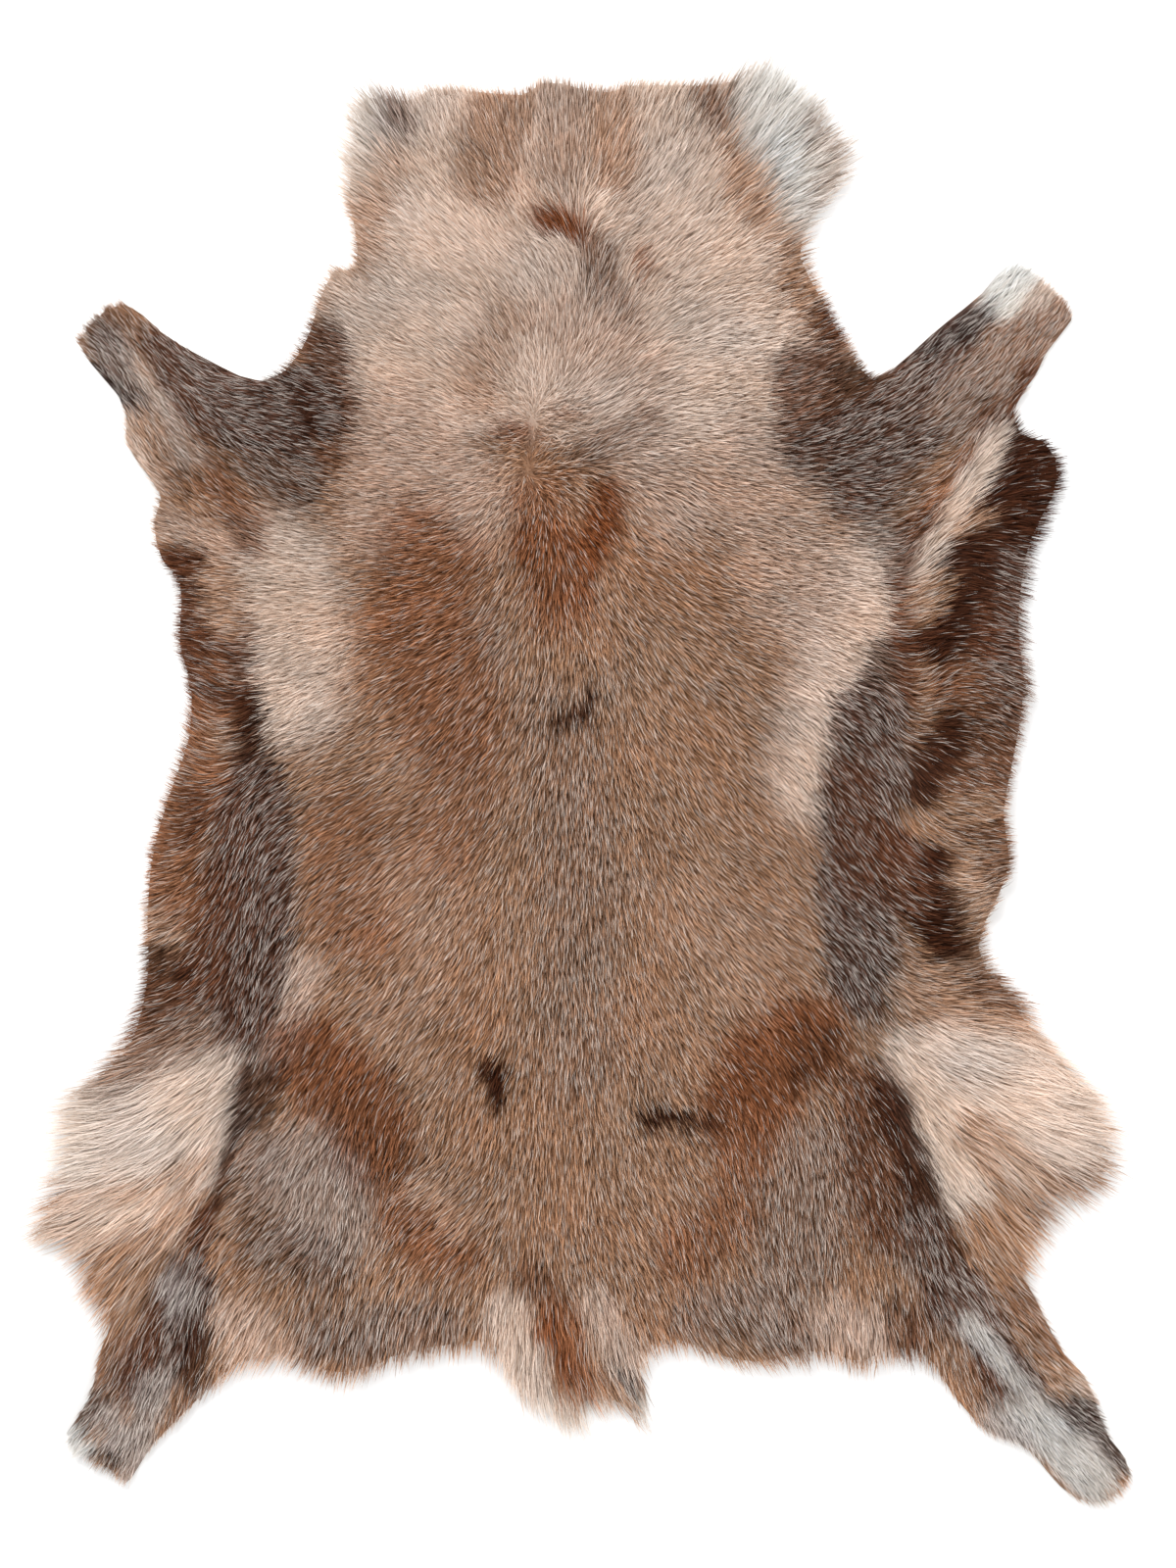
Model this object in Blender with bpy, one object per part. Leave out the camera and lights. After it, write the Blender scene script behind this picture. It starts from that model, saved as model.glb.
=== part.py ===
"""Reindeer hide lying flat, hair side up: one solid of tanned skin and pile.

The neck points to +Y, the tail to -Y and the skin side lies on the XY plane.
Tables and sizes are in millimetres; the mesh is in metres.
"""

from collections import namedtuple

import bmesh
import bpy
import numpy as np
from mathutils import Vector
from mathutils.geometry import delaunay_2d_cdt

MM = 0.001

# Driving sizes
SKIN = 2.0  # tanned skin
BACK_PILE = 22.0  # lying pile over the back
EDGE_STEP = 21.0  # spacing of the corners along the outline
GRID_STEP = 27.0  # spacing of the corners inside it
RIM_REACH = 34.0  # the pile rounds over this far in from the outline
RIM_RING = 12.0  # a ring of corners that carries the round-over
LEAST_LIFT = 0.4  # a fold lower than this lies on the floor

# The outline, anticlockwise from the neck's right corner. rim is the pile's height at the
# hair tips; each point is (across, along) from the middle of the hide.
Stretch = namedtuple("Stretch", "name rim points")
OUTLINE = (
    Stretch("neck_top", 12.0, (
        (239, 595), (205, 640), (160, 663), (137, 652), (109, 644), (40, 643), (13, 636),
        (-15, 644), (-40, 647), (-52, 636), (-98, 637), (-146, 640), (-170, 631),
        (-198, 643), (-219, 639),
    )),
    Stretch("neck_left", 12.0, (
        (-231, 605), (-229, 545), (-216, 505), (-215, 474), (-234, 474), (-250, 440),
        (-262, 405), (-284, 376),
    )),
    Stretch("foreleg_left", 6.0, (
        (-303, 370), (-351, 391), (-390, 415), (-416, 438), (-434, 443), (-450, 427),
        (-469, 408), (-461, 391), (-423, 342), (-426, 320), (-412, 292),
    )),
    Stretch("flank_left", 10.0, (
        (-392, 262), (-400, 238), (-391, 200), (-377, 186), (-376, 120), (-367, 95),
        (-368, 40), (-380, 8), (-401, -62), (-407, -135), (-406, -165),
    )),
    Stretch("thigh_left", 11.0, (
        (-413, -204), (-440, -250), (-479, -287), (-493, -360), (-508, -421),
        (-468, -438), (-470, -465), (-450, -492),
    )),
    Stretch("hind_leg_left", 6.0, (
        (-449, -520), (-459, -569), (-480, -600), (-470, -617), (-441, -629),
        (-422, -648), (-404, -617), (-378, -590), (-328, -546),
    )),
    Stretch("rump_left", 11.0, (
        (-300, -537), (-275, -536), (-245, -549), (-215, -549), (-180, -535),
        (-120, -524), (-86, -531),
    )),
    Stretch("tail", 8.0, (
        (-77, -558), (-50, -578), (-7, -596), (9, -579), (32, -581), (56, -596),
        (59, -563), (52, -531),
    )),
    Stretch("rump_right", 11.0, (
        (77, -518), (115, -529), (158, -539), (220, -530), (249, -545), (284, -531),
        (308, -531),
    )),
    Stretch("hind_leg_right", 6.0, (
        (346, -576), (370, -600), (401, -610), (440, -652), (472, -665), (502, -637),
        (498, -622), (480, -600), (461, -547), (440, -525), (416, -477), (403, -443),
    )),
    Stretch("thigh_right", 11.0, (
        (417, -428), (430, -401), (474, -373), (484, -330), (470, -282), (430, -236),
        (387, -180),
    )),
    Stretch("flank_right", 10.0, (
        (366, -160), (368, -130), (392, -72), (385, -30), (392, 5), (408, 99),
        (405, 130), (414, 214), (437, 275), (433, 303), (416, 319), (396, 324),
    )),
    Stretch("foreleg_right", 6.0, (
        (394, 343), (416, 378), (426, 400), (449, 428), (436, 446), (405, 473),
        (399, 481), (386, 478), (365, 452), (321, 416), (280, 380), (262, 372),
    )),
    Stretch("neck_right", 12.0, (
        (250, 387), (223, 439), (204, 487), (214, 512), (247, 567),
    )),
)

# Where the pile is longer or shorter than on the back.
Pile = namedtuple("Pile", "name across along reach height")
PILES = (
    Pile("neck", 0, 590, 110, 25.0),
    Pile("foreleg_left_shank", -430, 400, 60, 8.0),
    Pile("foreleg_left_knee", -370, 350, 50, 12.0),
    Pile("foreleg_right_shank", 410, 430, 60, 8.0),
    Pile("foreleg_right_knee", 340, 380, 50, 12.0),
    Pile("flank_left_edge", -370, 90, 60, 15.0),
    Pile("belly_left_edge", -385, -90, 60, 15.0),
    Pile("flank_right_flap", 380, 200, 70, 14.0),
    Pile("belly_right_flap", 365, -20, 70, 15.0),
    Pile("groin_left", -440, -360, 60, 20.0),
    Pile("groin_right", 430, -320, 60, 20.0),
    Pile("hind_left_shank", -440, -600, 60, 8.0),
    Pile("hind_left_hock", -390, -520, 55, 13.0),
    Pile("hind_right_shank", 455, -610, 60, 8.0),
    Pile("hind_right_hock", 400, -530, 55, 12.0),
    Pile("tail", 0, -560, 45, 13.0),
)

# A crest lifts the skin off the floor; a trough only presses or parts the pile.
Fold = namedtuple("Fold", "name start end reach lift dip")
FOLDS = (
    Fold("armpit_right_crest", (380, 300), (282, 110), 22, 13.0, 0.0),
    Fold("armpit_right_gutter", (395, 285), (318, 150), 24, 0.0, 6.0),
    Fold("armpit_left_crest", (-405, 330), (-325, 200), 22, 8.0, 0.0),
    Fold("flank_right_crease", (290, 165), (295, 30), 22, 0.0, 7.0),
    Fold("flap_right_wave_upper", (350, 90), (400, 105), 26, 9.0, 0.0),
    Fold("flap_right_wave_middle", (330, -15), (385, -30), 24, 10.0, 0.0),
    Fold("flap_right_wave_lower", (345, -85), (380, -105), 22, 11.0, 0.0),
    Fold("flap_right_hollow_upper", (305, 25), (345, 20), 22, 0.0, 5.0),
    Fold("flap_right_hollow_lower", (300, -65), (345, -150), 24, 0.0, 6.0),
    Fold("flank_left_crease", (-325, 115), (-318, -10), 22, 0.0, 6.0),
    Fold("flank_left_wave_upper", (-345, 150), (-372, 150), 22, 6.0, 0.0),
    Fold("flank_left_wave_lower", (-340, 35), (-366, 40), 24, 9.0, 0.0),
    Fold("flank_left_notch_crest", (-355, 240), (-395, 240), 22, 7.0, 0.0),
    Fold("thigh_left_crease", (-320, -250), (-358, -440), 24, 0.0, 7.0),
    Fold("thigh_right_crease", (275, -250), (355, -470), 24, 0.0, 7.0),
    Fold("hock_left_crease", (-345, -430), (-338, -515), 20, 0.0, 5.0),
    Fold("hind_left_crest", (-425, -520), (-440, -600), 24, 7.0, 0.0),
    Fold("hind_right_crest", (385, -490), (455, -610), 26, 8.0, 0.0),
    Fold("foreleg_left_crest", (-440, 415), (-400, 365), 24, 6.0, 0.0),
    Fold("foreleg_right_crest", (410, 440), (350, 370), 24, 7.0, 0.0),
    Fold("hip_left_hollow", (-215, -225), (-150, -240), 48, 0.0, 3.5),
    Fold("hip_right_hollow", (130, -245), (210, -225), 48, 0.0, 3.5),
    Fold("withers_parting", (-20, 225), (-5, 150), 30, 0.0, 4.0),
    Fold("neck_parting", (-10, 520), (10, 460), 28, 0.0, 4.0),
)

COAT_COLOUR = (0.23, 0.13, 0.08, 1.0)
COAT_ROUGHNESS = 0.9


def clear_scene():
    """Empties the scene, so that only the hide is left in it."""
    for obj in list(bpy.data.objects):
        bpy.data.objects.remove(obj)


def arc_through(before, start, end, after, share):
    """The point at this share of the way along a centripetal curve from start to end."""
    points = [Vector(p) for p in (before, start, end, after)]
    knots = [0.0]
    for a, b in zip(points, points[1:]):
        knots.append(knots[-1] + max((b - a).length, 1e-6) ** 0.5)
    t = knots[1] + share * (knots[2] - knots[1])
    for spans in (((0, 1), (1, 2), (2, 3)), ((0, 2), (1, 3)), ((1, 2),)):
        points = [
            a.lerp(b, (t - knots[low]) / (knots[high] - knots[low]))
            for (low, high), a, b in zip(spans, points, points[1:])
        ]
    return points[0]


def outline_points():
    """The smooth outline as evenly spaced points, and the rim's height at each."""
    corners = [(p, stretch.rim) for stretch in OUTLINE for p in stretch.points]
    count = len(corners)
    fine, rims = [], []
    for i in range(count):
        near = [corners[(i + k) % count] for k in (-1, 0, 1, 2)]
        for share in np.linspace(0.0, 1.0, 12, endpoint=False):
            fine.append(arc_through(*(point for point, _ in near), share))
            rims.append(near[1][1] * (1 - share) + near[2][1] * share)
    fine, rims = np.array(fine), np.array(rims)
    closed = np.vstack([fine, fine[:1]])
    along = np.concatenate([[0.0], np.cumsum(np.linalg.norm(np.diff(closed, axis=0), axis=1))])
    steps = np.linspace(0.0, along[-1], int(along[-1] / EDGE_STEP), endpoint=False)
    points = np.stack([np.interp(steps, along, closed[:, k]) for k in (0, 1)], axis=1)
    rim = np.interp(steps, along, np.append(rims, rims[0]))
    middle = (points.min(axis=0) + points.max(axis=0)) / 2
    return points - middle, rim


def nearest_on(outline, places):
    """For each place, its distance to the outline, and the nearest side and share of it."""
    start, step = outline, np.roll(outline, -1, axis=0) - outline
    offset = places[:, None] - start[None]
    share = ((offset * step).sum(2) / (step**2).sum(1)).clip(0.0, 1.0)
    gap = np.linalg.norm(offset - share[:, :, None] * step, axis=2)
    side = gap.argmin(axis=1)
    rows = np.arange(len(places))
    return gap[rows, side], side, share[rows, side]


def inside(outline, places):
    """Which places lie inside the outline, by how often a ray to +X crosses it."""
    a, b = outline, np.roll(outline, -1, axis=0)
    x, y = places[:, 0, None], places[:, 1, None]
    spans = (a[:, 1] > y) != (b[:, 1] > y)
    height = np.where(b[:, 1] == a[:, 1], 1.0, b[:, 1] - a[:, 1])
    crossing = a[:, 0] + (y - a[:, 1]) / height * (b[:, 0] - a[:, 0])
    return (spans & (x < crossing)).sum(axis=1) % 2 == 1


def inner_points(outline):
    """A ring just inside the outline, and a staggered grid over the rest."""
    tangent = np.roll(outline, -1, axis=0) - np.roll(outline, 1, axis=0)
    inward = np.stack([-tangent[:, 1], tangent[:, 0]], axis=1)
    inward /= np.linalg.norm(inward, axis=1)[:, None]
    ring = outline + RIM_RING * inward
    ring = ring[inside(outline, ring)]
    ring = ring[nearest_on(outline, ring)[0] > 0.8 * RIM_RING]
    low, high = outline.min(axis=0), outline.max(axis=0)
    row_step = GRID_STEP * 3**0.5 / 2
    rows = np.arange(low[1], high[1], row_step)
    grid = np.array([
        (x + GRID_STEP / 2 * (i % 2), y)
        for i, y in enumerate(rows)
        for x in np.arange(low[0], high[0], GRID_STEP)
    ])
    grid = grid[inside(outline, grid)]
    grid = grid[nearest_on(outline, grid)[0] > RIM_RING + 0.55 * GRID_STEP]
    return np.vstack([ring, grid])


def pile_height(places):
    """The lying pile's height, blended from the back's to each shorter or longer place."""
    total, weight = np.full(len(places), BACK_PILE), np.ones(len(places))
    for pile in PILES:
        gap = np.linalg.norm(places - (pile.across, pile.along), axis=1)
        near = 6.0 * np.exp(-((gap / pile.reach) ** 2))
        total += near * pile.height
        weight += near
    return total / weight


def fold_heights(places):
    """How far the folds lift the skin at each place, and how far they press the pile."""
    lift, dip = np.zeros(len(places)), np.zeros(len(places))
    for fold in FOLDS:
        start, step = np.array(fold.start, float), np.subtract(fold.end, fold.start)
        share = (((places - start) @ step) / (step @ step)).clip(0.0, 1.0)
        gap = np.linalg.norm(places - start - share[:, None] * step, axis=1)
        bell = np.exp(-((gap / fold.reach) ** 2))
        lift = np.maximum(lift, fold.lift * bell)
        dip = np.maximum(dip, fold.dip * bell)
    return np.where(lift < LEAST_LIFT, 0.0, lift), dip


def surfaces(outline, rim, places):
    """The skin side's and the pile side's height at each place."""
    gap, side, share = nearest_on(outline, places)
    edge = rim[side] * (1 - share) + np.roll(rim, -1)[side] * share
    lift, dip = fold_heights(places)
    full = pile_height(places) - dip
    turn = (1.0 - (1.0 - gap / RIM_REACH).clip(0.0, 1.0) ** 2.0) ** 0.5
    return lift, lift + SKIN + edge + (full - edge).clip(0.0) * turn


def hide_mesh():
    """The cut of the hide filled with triangles, once for each side, and joined at the rim."""
    outline, rim = outline_points()
    cut = np.vstack([outline, inner_points(outline)])
    loop = list(range(len(outline)))
    flat, _, faces, *_ = delaunay_2d_cdt([Vector(p) for p in cut], [], [loop], 1, 1e-3)
    places = np.array(flat)
    mesh = bmesh.new()
    lower, upper = (
        [mesh.verts.new((*(place * MM), z * MM)) for place, z in zip(places, heights)]
        for heights in surfaces(outline, rim, places)
    )
    for face in faces:
        mesh.faces.new([lower[i] for i in reversed(face)])
        mesh.faces.new([upper[i] for i in face])
    mesh.verts.index_update()
    edges = [e for e in mesh.edges if e.is_boundary and e.verts[0].index < len(places)]
    for a, b in [(edge.verts[0].index, edge.verts[1].index) for edge in edges]:
        mesh.faces.new([lower[a], lower[b], upper[b], upper[a]])
    bmesh.ops.recalc_face_normals(mesh, faces=mesh.faces[:])
    return mesh


def coat_material():
    """Brown hair, dull."""
    material = bpy.data.materials.new("coat")
    material.use_nodes = True
    shader = material.node_tree.nodes["Principled BSDF"]
    shader.inputs["Base Color"].default_value = COAT_COLOUR
    shader.inputs["Roughness"].default_value = COAT_ROUGHNESS
    shader.inputs["Metallic"].default_value = 0.0
    return material


def main():
    clear_scene()
    mesh = bpy.data.meshes.new("hide")
    shape = hide_mesh()
    shape.to_mesh(mesh)
    shape.free()
    mesh.materials.append(coat_material())
    hide = bpy.data.objects.new("hide", mesh)
    bpy.context.scene.collection.objects.link(hide)


main()
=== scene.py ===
"""Reindeer hide lying hair side up: a tanned skin, and the coat of hair that grows on it.

The neck points to +Y and the tail to -Y. Places in the tables are in millimetres, across (+X)
and along (+Y) from a point on the spine, and headings are in degrees, anticlockwise from +X.
"""

from __future__ import annotations

import logging
import math
from dataclasses import dataclass
from enum import Enum
from functools import cached_property
from typing import Any, Mapping, NamedTuple, Sequence

import bmesh
import bpy
import numpy as np
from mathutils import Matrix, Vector, noise
from mathutils.bvhtree import BVHTree
from mathutils.geometry import delaunay_2d_cdt


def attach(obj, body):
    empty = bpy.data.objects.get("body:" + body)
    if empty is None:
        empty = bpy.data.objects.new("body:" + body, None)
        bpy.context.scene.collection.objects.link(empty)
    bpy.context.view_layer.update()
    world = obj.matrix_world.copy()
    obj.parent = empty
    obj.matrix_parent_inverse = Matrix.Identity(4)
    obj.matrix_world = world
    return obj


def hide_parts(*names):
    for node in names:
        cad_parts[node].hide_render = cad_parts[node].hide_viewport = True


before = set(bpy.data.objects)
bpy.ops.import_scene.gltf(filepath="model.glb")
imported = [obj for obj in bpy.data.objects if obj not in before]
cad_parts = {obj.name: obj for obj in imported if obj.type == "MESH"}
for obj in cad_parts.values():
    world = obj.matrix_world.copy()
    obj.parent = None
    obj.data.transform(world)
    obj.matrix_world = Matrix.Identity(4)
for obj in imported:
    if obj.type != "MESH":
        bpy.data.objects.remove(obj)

LOG = logging.getLogger("hide")
MM = 0.001
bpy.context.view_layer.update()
ZERO = np.array((-2.6, -0.4))  # the tables' zero, on the spine, from the solid's middle
Point = tuple[float, float]


# ---------------------------------------------------------------------------- hair colours


class Hair(Enum):
    """A kind of hair: its red, green and blue as seen, and how much of it has pale tips."""

    SNOW = (218, 216, 212, 0.30)
    CREAM = (215, 203, 193, 0.25)
    SHELL = (227, 208, 194, 0.15)
    BEIGE = (217, 197, 182, 0.22)
    SAND = (205, 178, 160, 0.22)
    FAWN = (190, 152, 125, 0.20)
    TAN = (170, 130, 101, 0.20)
    RUSSET = (151, 100, 69, 0.12)
    CHESTNUT = (131, 75, 42, 0.05)
    UMBER = (107, 66, 45, 0.13)
    SMOKE = (145, 112, 92, 0.36)
    ASH = (170, 158, 152, 0.42)
    SLATE = (96, 66, 53, 0.34)
    COAL = (68, 50, 44, 0.30)
    SOOT = (67, 35, 19, 0.04)

    @property
    def shade(self) -> np.ndarray:
        """The hair's colour as linear light."""
        seen = np.array(self.value[:3]) / 255.0
        return np.where(seen < 0.04045, seen / 12.92, ((seen + 0.055) / 1.055) ** 2.4)

    @property
    def frost(self) -> float:
        """The share of the hair that has pale tips."""
        return self.value[3]


class Patch(NamedTuple):
    """A patch of one kind of hair along a path, full within reach of it, gone fade further out; some patches
    are painted shade.
    """

    name: str
    hair: Hair
    reach: float
    fade: float
    path: tuple[Point, ...]
    strength: float = 1.0


# Laid over each other in this order, on a coat of TAN. Some patches are painted shade in creases, hollows, a
# slit and under a fold and bumps.
PATCHES = (
    # neck
    Patch("neck_left_field", Hair.SHELL, 95, 60, ((-120, 600), (-110, 440)), 0.9),
    Patch("neck_right_field", Hair.BEIGE, 95, 60, ((120, 600), (115, 420)), 0.85),
    Patch("neck_left_pale", Hair.SHELL, 28, 35, ((-110, 625), (-120, 540), (-150, 470))),
    Patch("neck_left_low_pale", Hair.BEIGE, 35, 35, ((-175, 440), (-150, 395)), 0.9),
    Patch("neck_right_pale", Hair.BEIGE, 22, 25, ((75, 625), (70, 565), (110, 540)), 0.8),
    Patch("neck_right_low_pale", Hair.BEIGE, 45, 40, ((145, 450), (120, 385)), 0.9),
    Patch("neck_brown_stripe", Hair.TAN, 18, 24, ((-66, 640), (-88, 560)), 0.75),
    Patch("neck_middle_grey", Hair.SMOKE, 12, 22, ((-12, 640), (-18, 560)), 0.45),
    Patch("neck_middle_dark", Hair.FAWN, 10, 18, ((28, 640), (35, 560)), 0.8),
    Patch("neck_top_dark", Hair.SMOKE, 10, 18, ((120, 628), (140, 608), (150, 588))),
    Patch("neck_right_streak", Hair.FAWN, 12, 20, ((150, 590), (160, 540), (190, 512)), 0.9),
    Patch("neck_right_crown", Hair.SMOKE, 22, 22, ((172, 645), (195, 620)), 0.7),
    Patch("neck_right_corner", Hair.SNOW, 34, 30, ((190, 622), (218, 580), (232, 545)), 0.9),
    Patch("neck_right_tips", Hair.SMOKE, 18, 18, ((235, 605), (250, 560), (236, 525)), 0.5),
    Patch("neck_left_grey", Hair.ASH, 14, 16, ((-190, 625), (-186, 590)), 0.8),
    Patch("neck_left_tips", Hair.CREAM, 18, 14, ((-212, 630), (-214, 585), (-212, 550)), 0.8),
    Patch("neck_left_dark", Hair.UMBER, 6, 13, ((-172, 622), (-160, 606)), 0.6),
    Patch("neck_left_edge", Hair.FAWN, 8, 22, ((-178, 575), (-198, 520), (-203, 480)), 0.6),
    Patch("neck_curl", Hair.CHESTNUT, 8, 11, ((-30, 517), (-8, 516), (10, 502))),
    Patch("neck_seam", Hair.SMOKE, 10, 14, ((16, 492), (20, 455), (36, 430)), 0.9),
    Patch("neck_spot", Hair.RUSSET, 2, 9, ((58, 481), (60, 470)), 0.8),
    Patch("neck_low_left", Hair.FAWN, 10, 28, ((-62, 420), (-92, 385), (-92, 362)), 0.6),
    Patch("neck_low_streak", Hair.CREAM, 4, 12, ((-48, 410), (-42, 378)), 0.4),
    Patch("neck_low_middle", Hair.SAND, 25, 30, ((0, 415), (45, 375)), 0.8),
    Patch("withers_pale", Hair.BEIGE, 22, 26, ((-40, 378), (-12, 345), (30, 340)), 0.5),
    # sides
    Patch("side_left_pale", Hair.BEIGE, 26, 48, ((-275, 200), (-262, 125), (-266, 82))),
    Patch("side_right_pale", Hair.SHELL, 20, 44, ((268, 195), (240, 115), (224, 50), (216, 0)), 0.85),
    Patch("side_right_upper", Hair.SAND, 26, 40, ((165, 300), (195, 180)), 0.7),
    Patch("side_left_upper", Hair.SAND, 22, 36, ((-170, 330), (-180, 245)), 0.75),
    # shoulders
    Patch("shoulder_left", Hair.UMBER, 18, 10, ((-238, 402), (-230, 380), (-226, 345)), 0.85),
    Patch("shoulder_left_low", Hair.UMBER, 16, 22, ((-232, 345), (-232, 312)), 0.75),
    Patch("neck_right_side", Hair.TAN, 17, 18, ((205, 475), (225, 430)), 0.9),
    Patch("neck_right_edge", Hair.UMBER, 9, 12, ((232, 430), (238, 410)), 0.9),
    Patch("armpit_right_edge", Hair.FAWN, 6, 8, ((247, 404), (256, 376)), 0.9),
    Patch("shoulder_right", Hair.UMBER, 20, 18, ((204, 372), (210, 345), (207, 322)), 0.85),
    Patch("shoulder_right_brown", Hair.UMBER, 10, 14, ((226, 418), (228, 392)), 0.6),
    Patch("armpit_right", Hair.SOOT, 14, 20, ((252, 368), (272, 345), (245, 330)), 0.8),
    Patch("shoulder_right_low", Hair.SLATE, 22, 24, ((225, 300), (255, 275)), 0.8),
    # left foreleg
    Patch("arm_left", Hair.SLATE, 34, 14, ((-262, 345), (-305, 345), (-350, 365))),
    Patch("arm_left_upper", Hair.SLATE, 12, 12, ((-300, 370), (-350, 385), (-385, 402))),
    # painted shade in the crease by the left foreleg
    Patch("arm_left_crease_painted_shade", Hair.SOOT, 5, 14, ((-252, 352), (-248, 325), (-265, 308)), 0.75),
    Patch("arm_left_low", Hair.SLATE, 18, 26, ((-285, 300), (-262, 280)), 0.8),
    Patch("arm_left_brown", Hair.UMBER, 9, 13, ((-415, 428), (-390, 405), (-366, 355), (-330, 285)), 0.55),
    Patch("arm_left_grey", Hair.ASH, 9, 11, ((-432, 405), (-402, 355), (-368, 300)), 0.8),
    Patch("arm_left_pink", Hair.SAND, 3, 8, ((-402, 385), (-378, 340), (-345, 295)), 0.6),
    Patch("arm_left_edge", Hair.SAND, 9, 10, ((-412, 330), (-400, 295), (-388, 280)), 0.9),
    Patch("arm_left_mid", Hair.TAN, 8, 10, ((-395, 330), (-372, 285)), 0.7),
    Patch("paw_left", Hair.SLATE, 10, 10, ((-440, 420), (-428, 385), (-412, 350)), 0.7),
    Patch("paw_left_dark", Hair.COAL, 5, 7, ((-447, 382), (-425, 362), (-414, 348))),
    Patch("paw_left_snow", Hair.SLATE, 5, 7, ((-462, 404), (-446, 396)), 0.5),
    Patch("paw_left_tip", Hair.COAL, 3, 5, ((-452, 412), (-440, 418)), 0.6),
    Patch("elbow_left_dark", Hair.UMBER, 3, 9, ((-372, 288), (-362, 272)), 0.4),
    Patch("elbow_left_roll", Hair.SAND, 10, 12, ((-382, 240), (-348, 226), (-322, 210)), 0.65),
    Patch("elbow_left_notch", Hair.UMBER, 9, 10, ((-388, 202), (-352, 201))),
    Patch("elbow_left_band", Hair.RUSSET, 9, 14, ((-335, 275), (-308, 248), (-302, 222)), 0.7),
    # painted shadow in a dark slit at the left elbow
    Patch("elbow_left_slit_painted_shadow", Hair.SOOT, 3, 8, ((-314, 240), (-306, 218)), 0.5),
    # right foreleg
    Patch("arm_right", Hair.SLATE, 32, 18, ((262, 310), (300, 335), (335, 370)), 0.95),
    Patch("arm_right_low", Hair.SLATE, 22, 18, ((262, 272), (290, 285)), 0.6),
    Patch("arm_right_end", Hair.SLATE, 12, 22, ((262, 248), (278, 232)), 0.6),
    Patch("arm_right_upper", Hair.SLATE, 14, 12, ((298, 385), (335, 405), (360, 425))),
    Patch("arm_right_brown", Hair.SMOKE, 13, 14, ((340, 345), (385, 392), (420, 430)), 0.9),
    Patch("paw_right_snow", Hair.SNOW, 14, 8, ((406, 474), (394, 455), (384, 442))),
    Patch("paw_right_cream", Hair.CREAM, 7, 9, ((428, 454), (412, 440)), 0.6),
    Patch("arm_right_coal", Hair.COAL, 7, 8, ((320, 398), (350, 416), (370, 430)), 0.9),
    Patch("paw_right_edge", Hair.SMOKE, 8, 8, ((450, 432), (428, 405), (412, 378)), 0.9),
    Patch("arm_right_edge", Hair.UMBER, 9, 9, ((410, 372), (390, 335))),
    Patch("roll_right_grey", Hair.SMOKE, 8, 10, ((385, 365), (362, 330), (345, 300)), 0.7),
    # right elbow roll and flap
    Patch("flap_right", Hair.SOOT, 44, 12, ((402, 285), (392, 225), (388, 160))),
    Patch("flap_right_low", Hair.UMBER, 40, 18, ((380, 130), (372, 60), (365, 0)), 0.8),
    Patch("flap_right_frost", Hair.SLATE, 10, 18, ((400, 200), (398, 120), (385, 70)), 0.6),
    # painted shadow that the right elbow roll casts onto the flap
    Patch("flap_right_fold_painted_shadow", Hair.SOOT, 23, 12, ((354, 228), (346, 190), (326, 135))),
    Patch("flap_right_inner", Hair.UMBER, 7, 12, ((325, 105), (318, 80)), 0.25),
    Patch("flap_right_arch", Hair.RUSSET, 8, 14, ((350, 95), (372, 70)), 0.35),
    Patch("roll_right", Hair.BEIGE, 10, 7, ((384, 322), (362, 285), (335, 240), (312, 195), (304, 165)), 0.9),
    Patch("roll_right_end", Hair.TAN, 9, 12, ((325, 180), (308, 158)), 0.8),
    # painted shade in the crease along the elbow roll's left edge
    Patch("roll_right_crease_painted_shade", Hair.RUSSET, 5, 8, ((352, 300), (330, 268), (305, 235)), 0.8),
    Patch("roll_right_tuft", Hair.UMBER, 4, 8, ((376, 348), (363, 326)), 0.7),
    Patch("roll_right_lip", Hair.FAWN, 6, 6, ((370, 244), (348, 236)), 0.7),
    Patch("roll_right_notch", Hair.SOOT, 6, 5, ((394, 266), (370, 257)), 0.95),
    # painted shade in a hollow of the right flank trough
    Patch("hollow_right_upper_painted_shade", Hair.SOOT, 13, 18, ((308, -5), (322, 22), (338, 45)), 0.95),
    Patch("lobe_right_upper", Hair.TAN, 9, 12, ((370, -20), (345, -25), (320, -40)), 0.85),
    Patch("flap_right_edge", Hair.UMBER, 13, 14, ((390, -60), (378, -92)), 0.6),
    # painted shade in a hollow of the right flank trough
    Patch("hollow_right_lower_painted_shade", Hair.SOOT, 17, 16, ((318, -75), (322, -118), (345, -150))),
    Patch("lobe_right_lower", Hair.FAWN, 6, 12, ((352, -84), (370, -98), (362, -118)), 0.75),
    Patch("notch_right", Hair.TAN, 8, 10, ((362, -130), (370, -152)), 0.6),
    # body, upper
    Patch("russet_left", Hair.RUSSET, 26, 50, ((-135, 215), (-145, 150), (-120, 60)), 0.85),
    Patch("russet_left_low", Hair.RUSSET, 22, 34, ((-110, 0), (-130, -60)), 0.5),
    # painted shadow in a whorl's dip at the withers
    Patch("withers_left_painted_shadow", Hair.CHESTNUT, 6, 12, ((-74, 316), (-62, 322)), 0.7),
    Patch("withers_left_tail", Hair.TAN, 5, 8, ((-95, 312), (-60, 303)), 0.9),
    Patch("withers_line", Hair.RUSSET, 2, 4, ((-38, 339), (0, 336)), 0.5),
    # painted shadow under a bump at the withers, over greyish brown hair
    Patch("withers_right_painted_shadow", Hair.SMOKE, 8, 13, ((10, 302), (35, 316), (62, 332)), 0.8),
    # painted shade in a small crease at the withers
    Patch("withers_low_painted_crease_shade", Hair.RUSSET, 4, 7, ((-18, 283), (0, 285)), 0.45),
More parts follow.
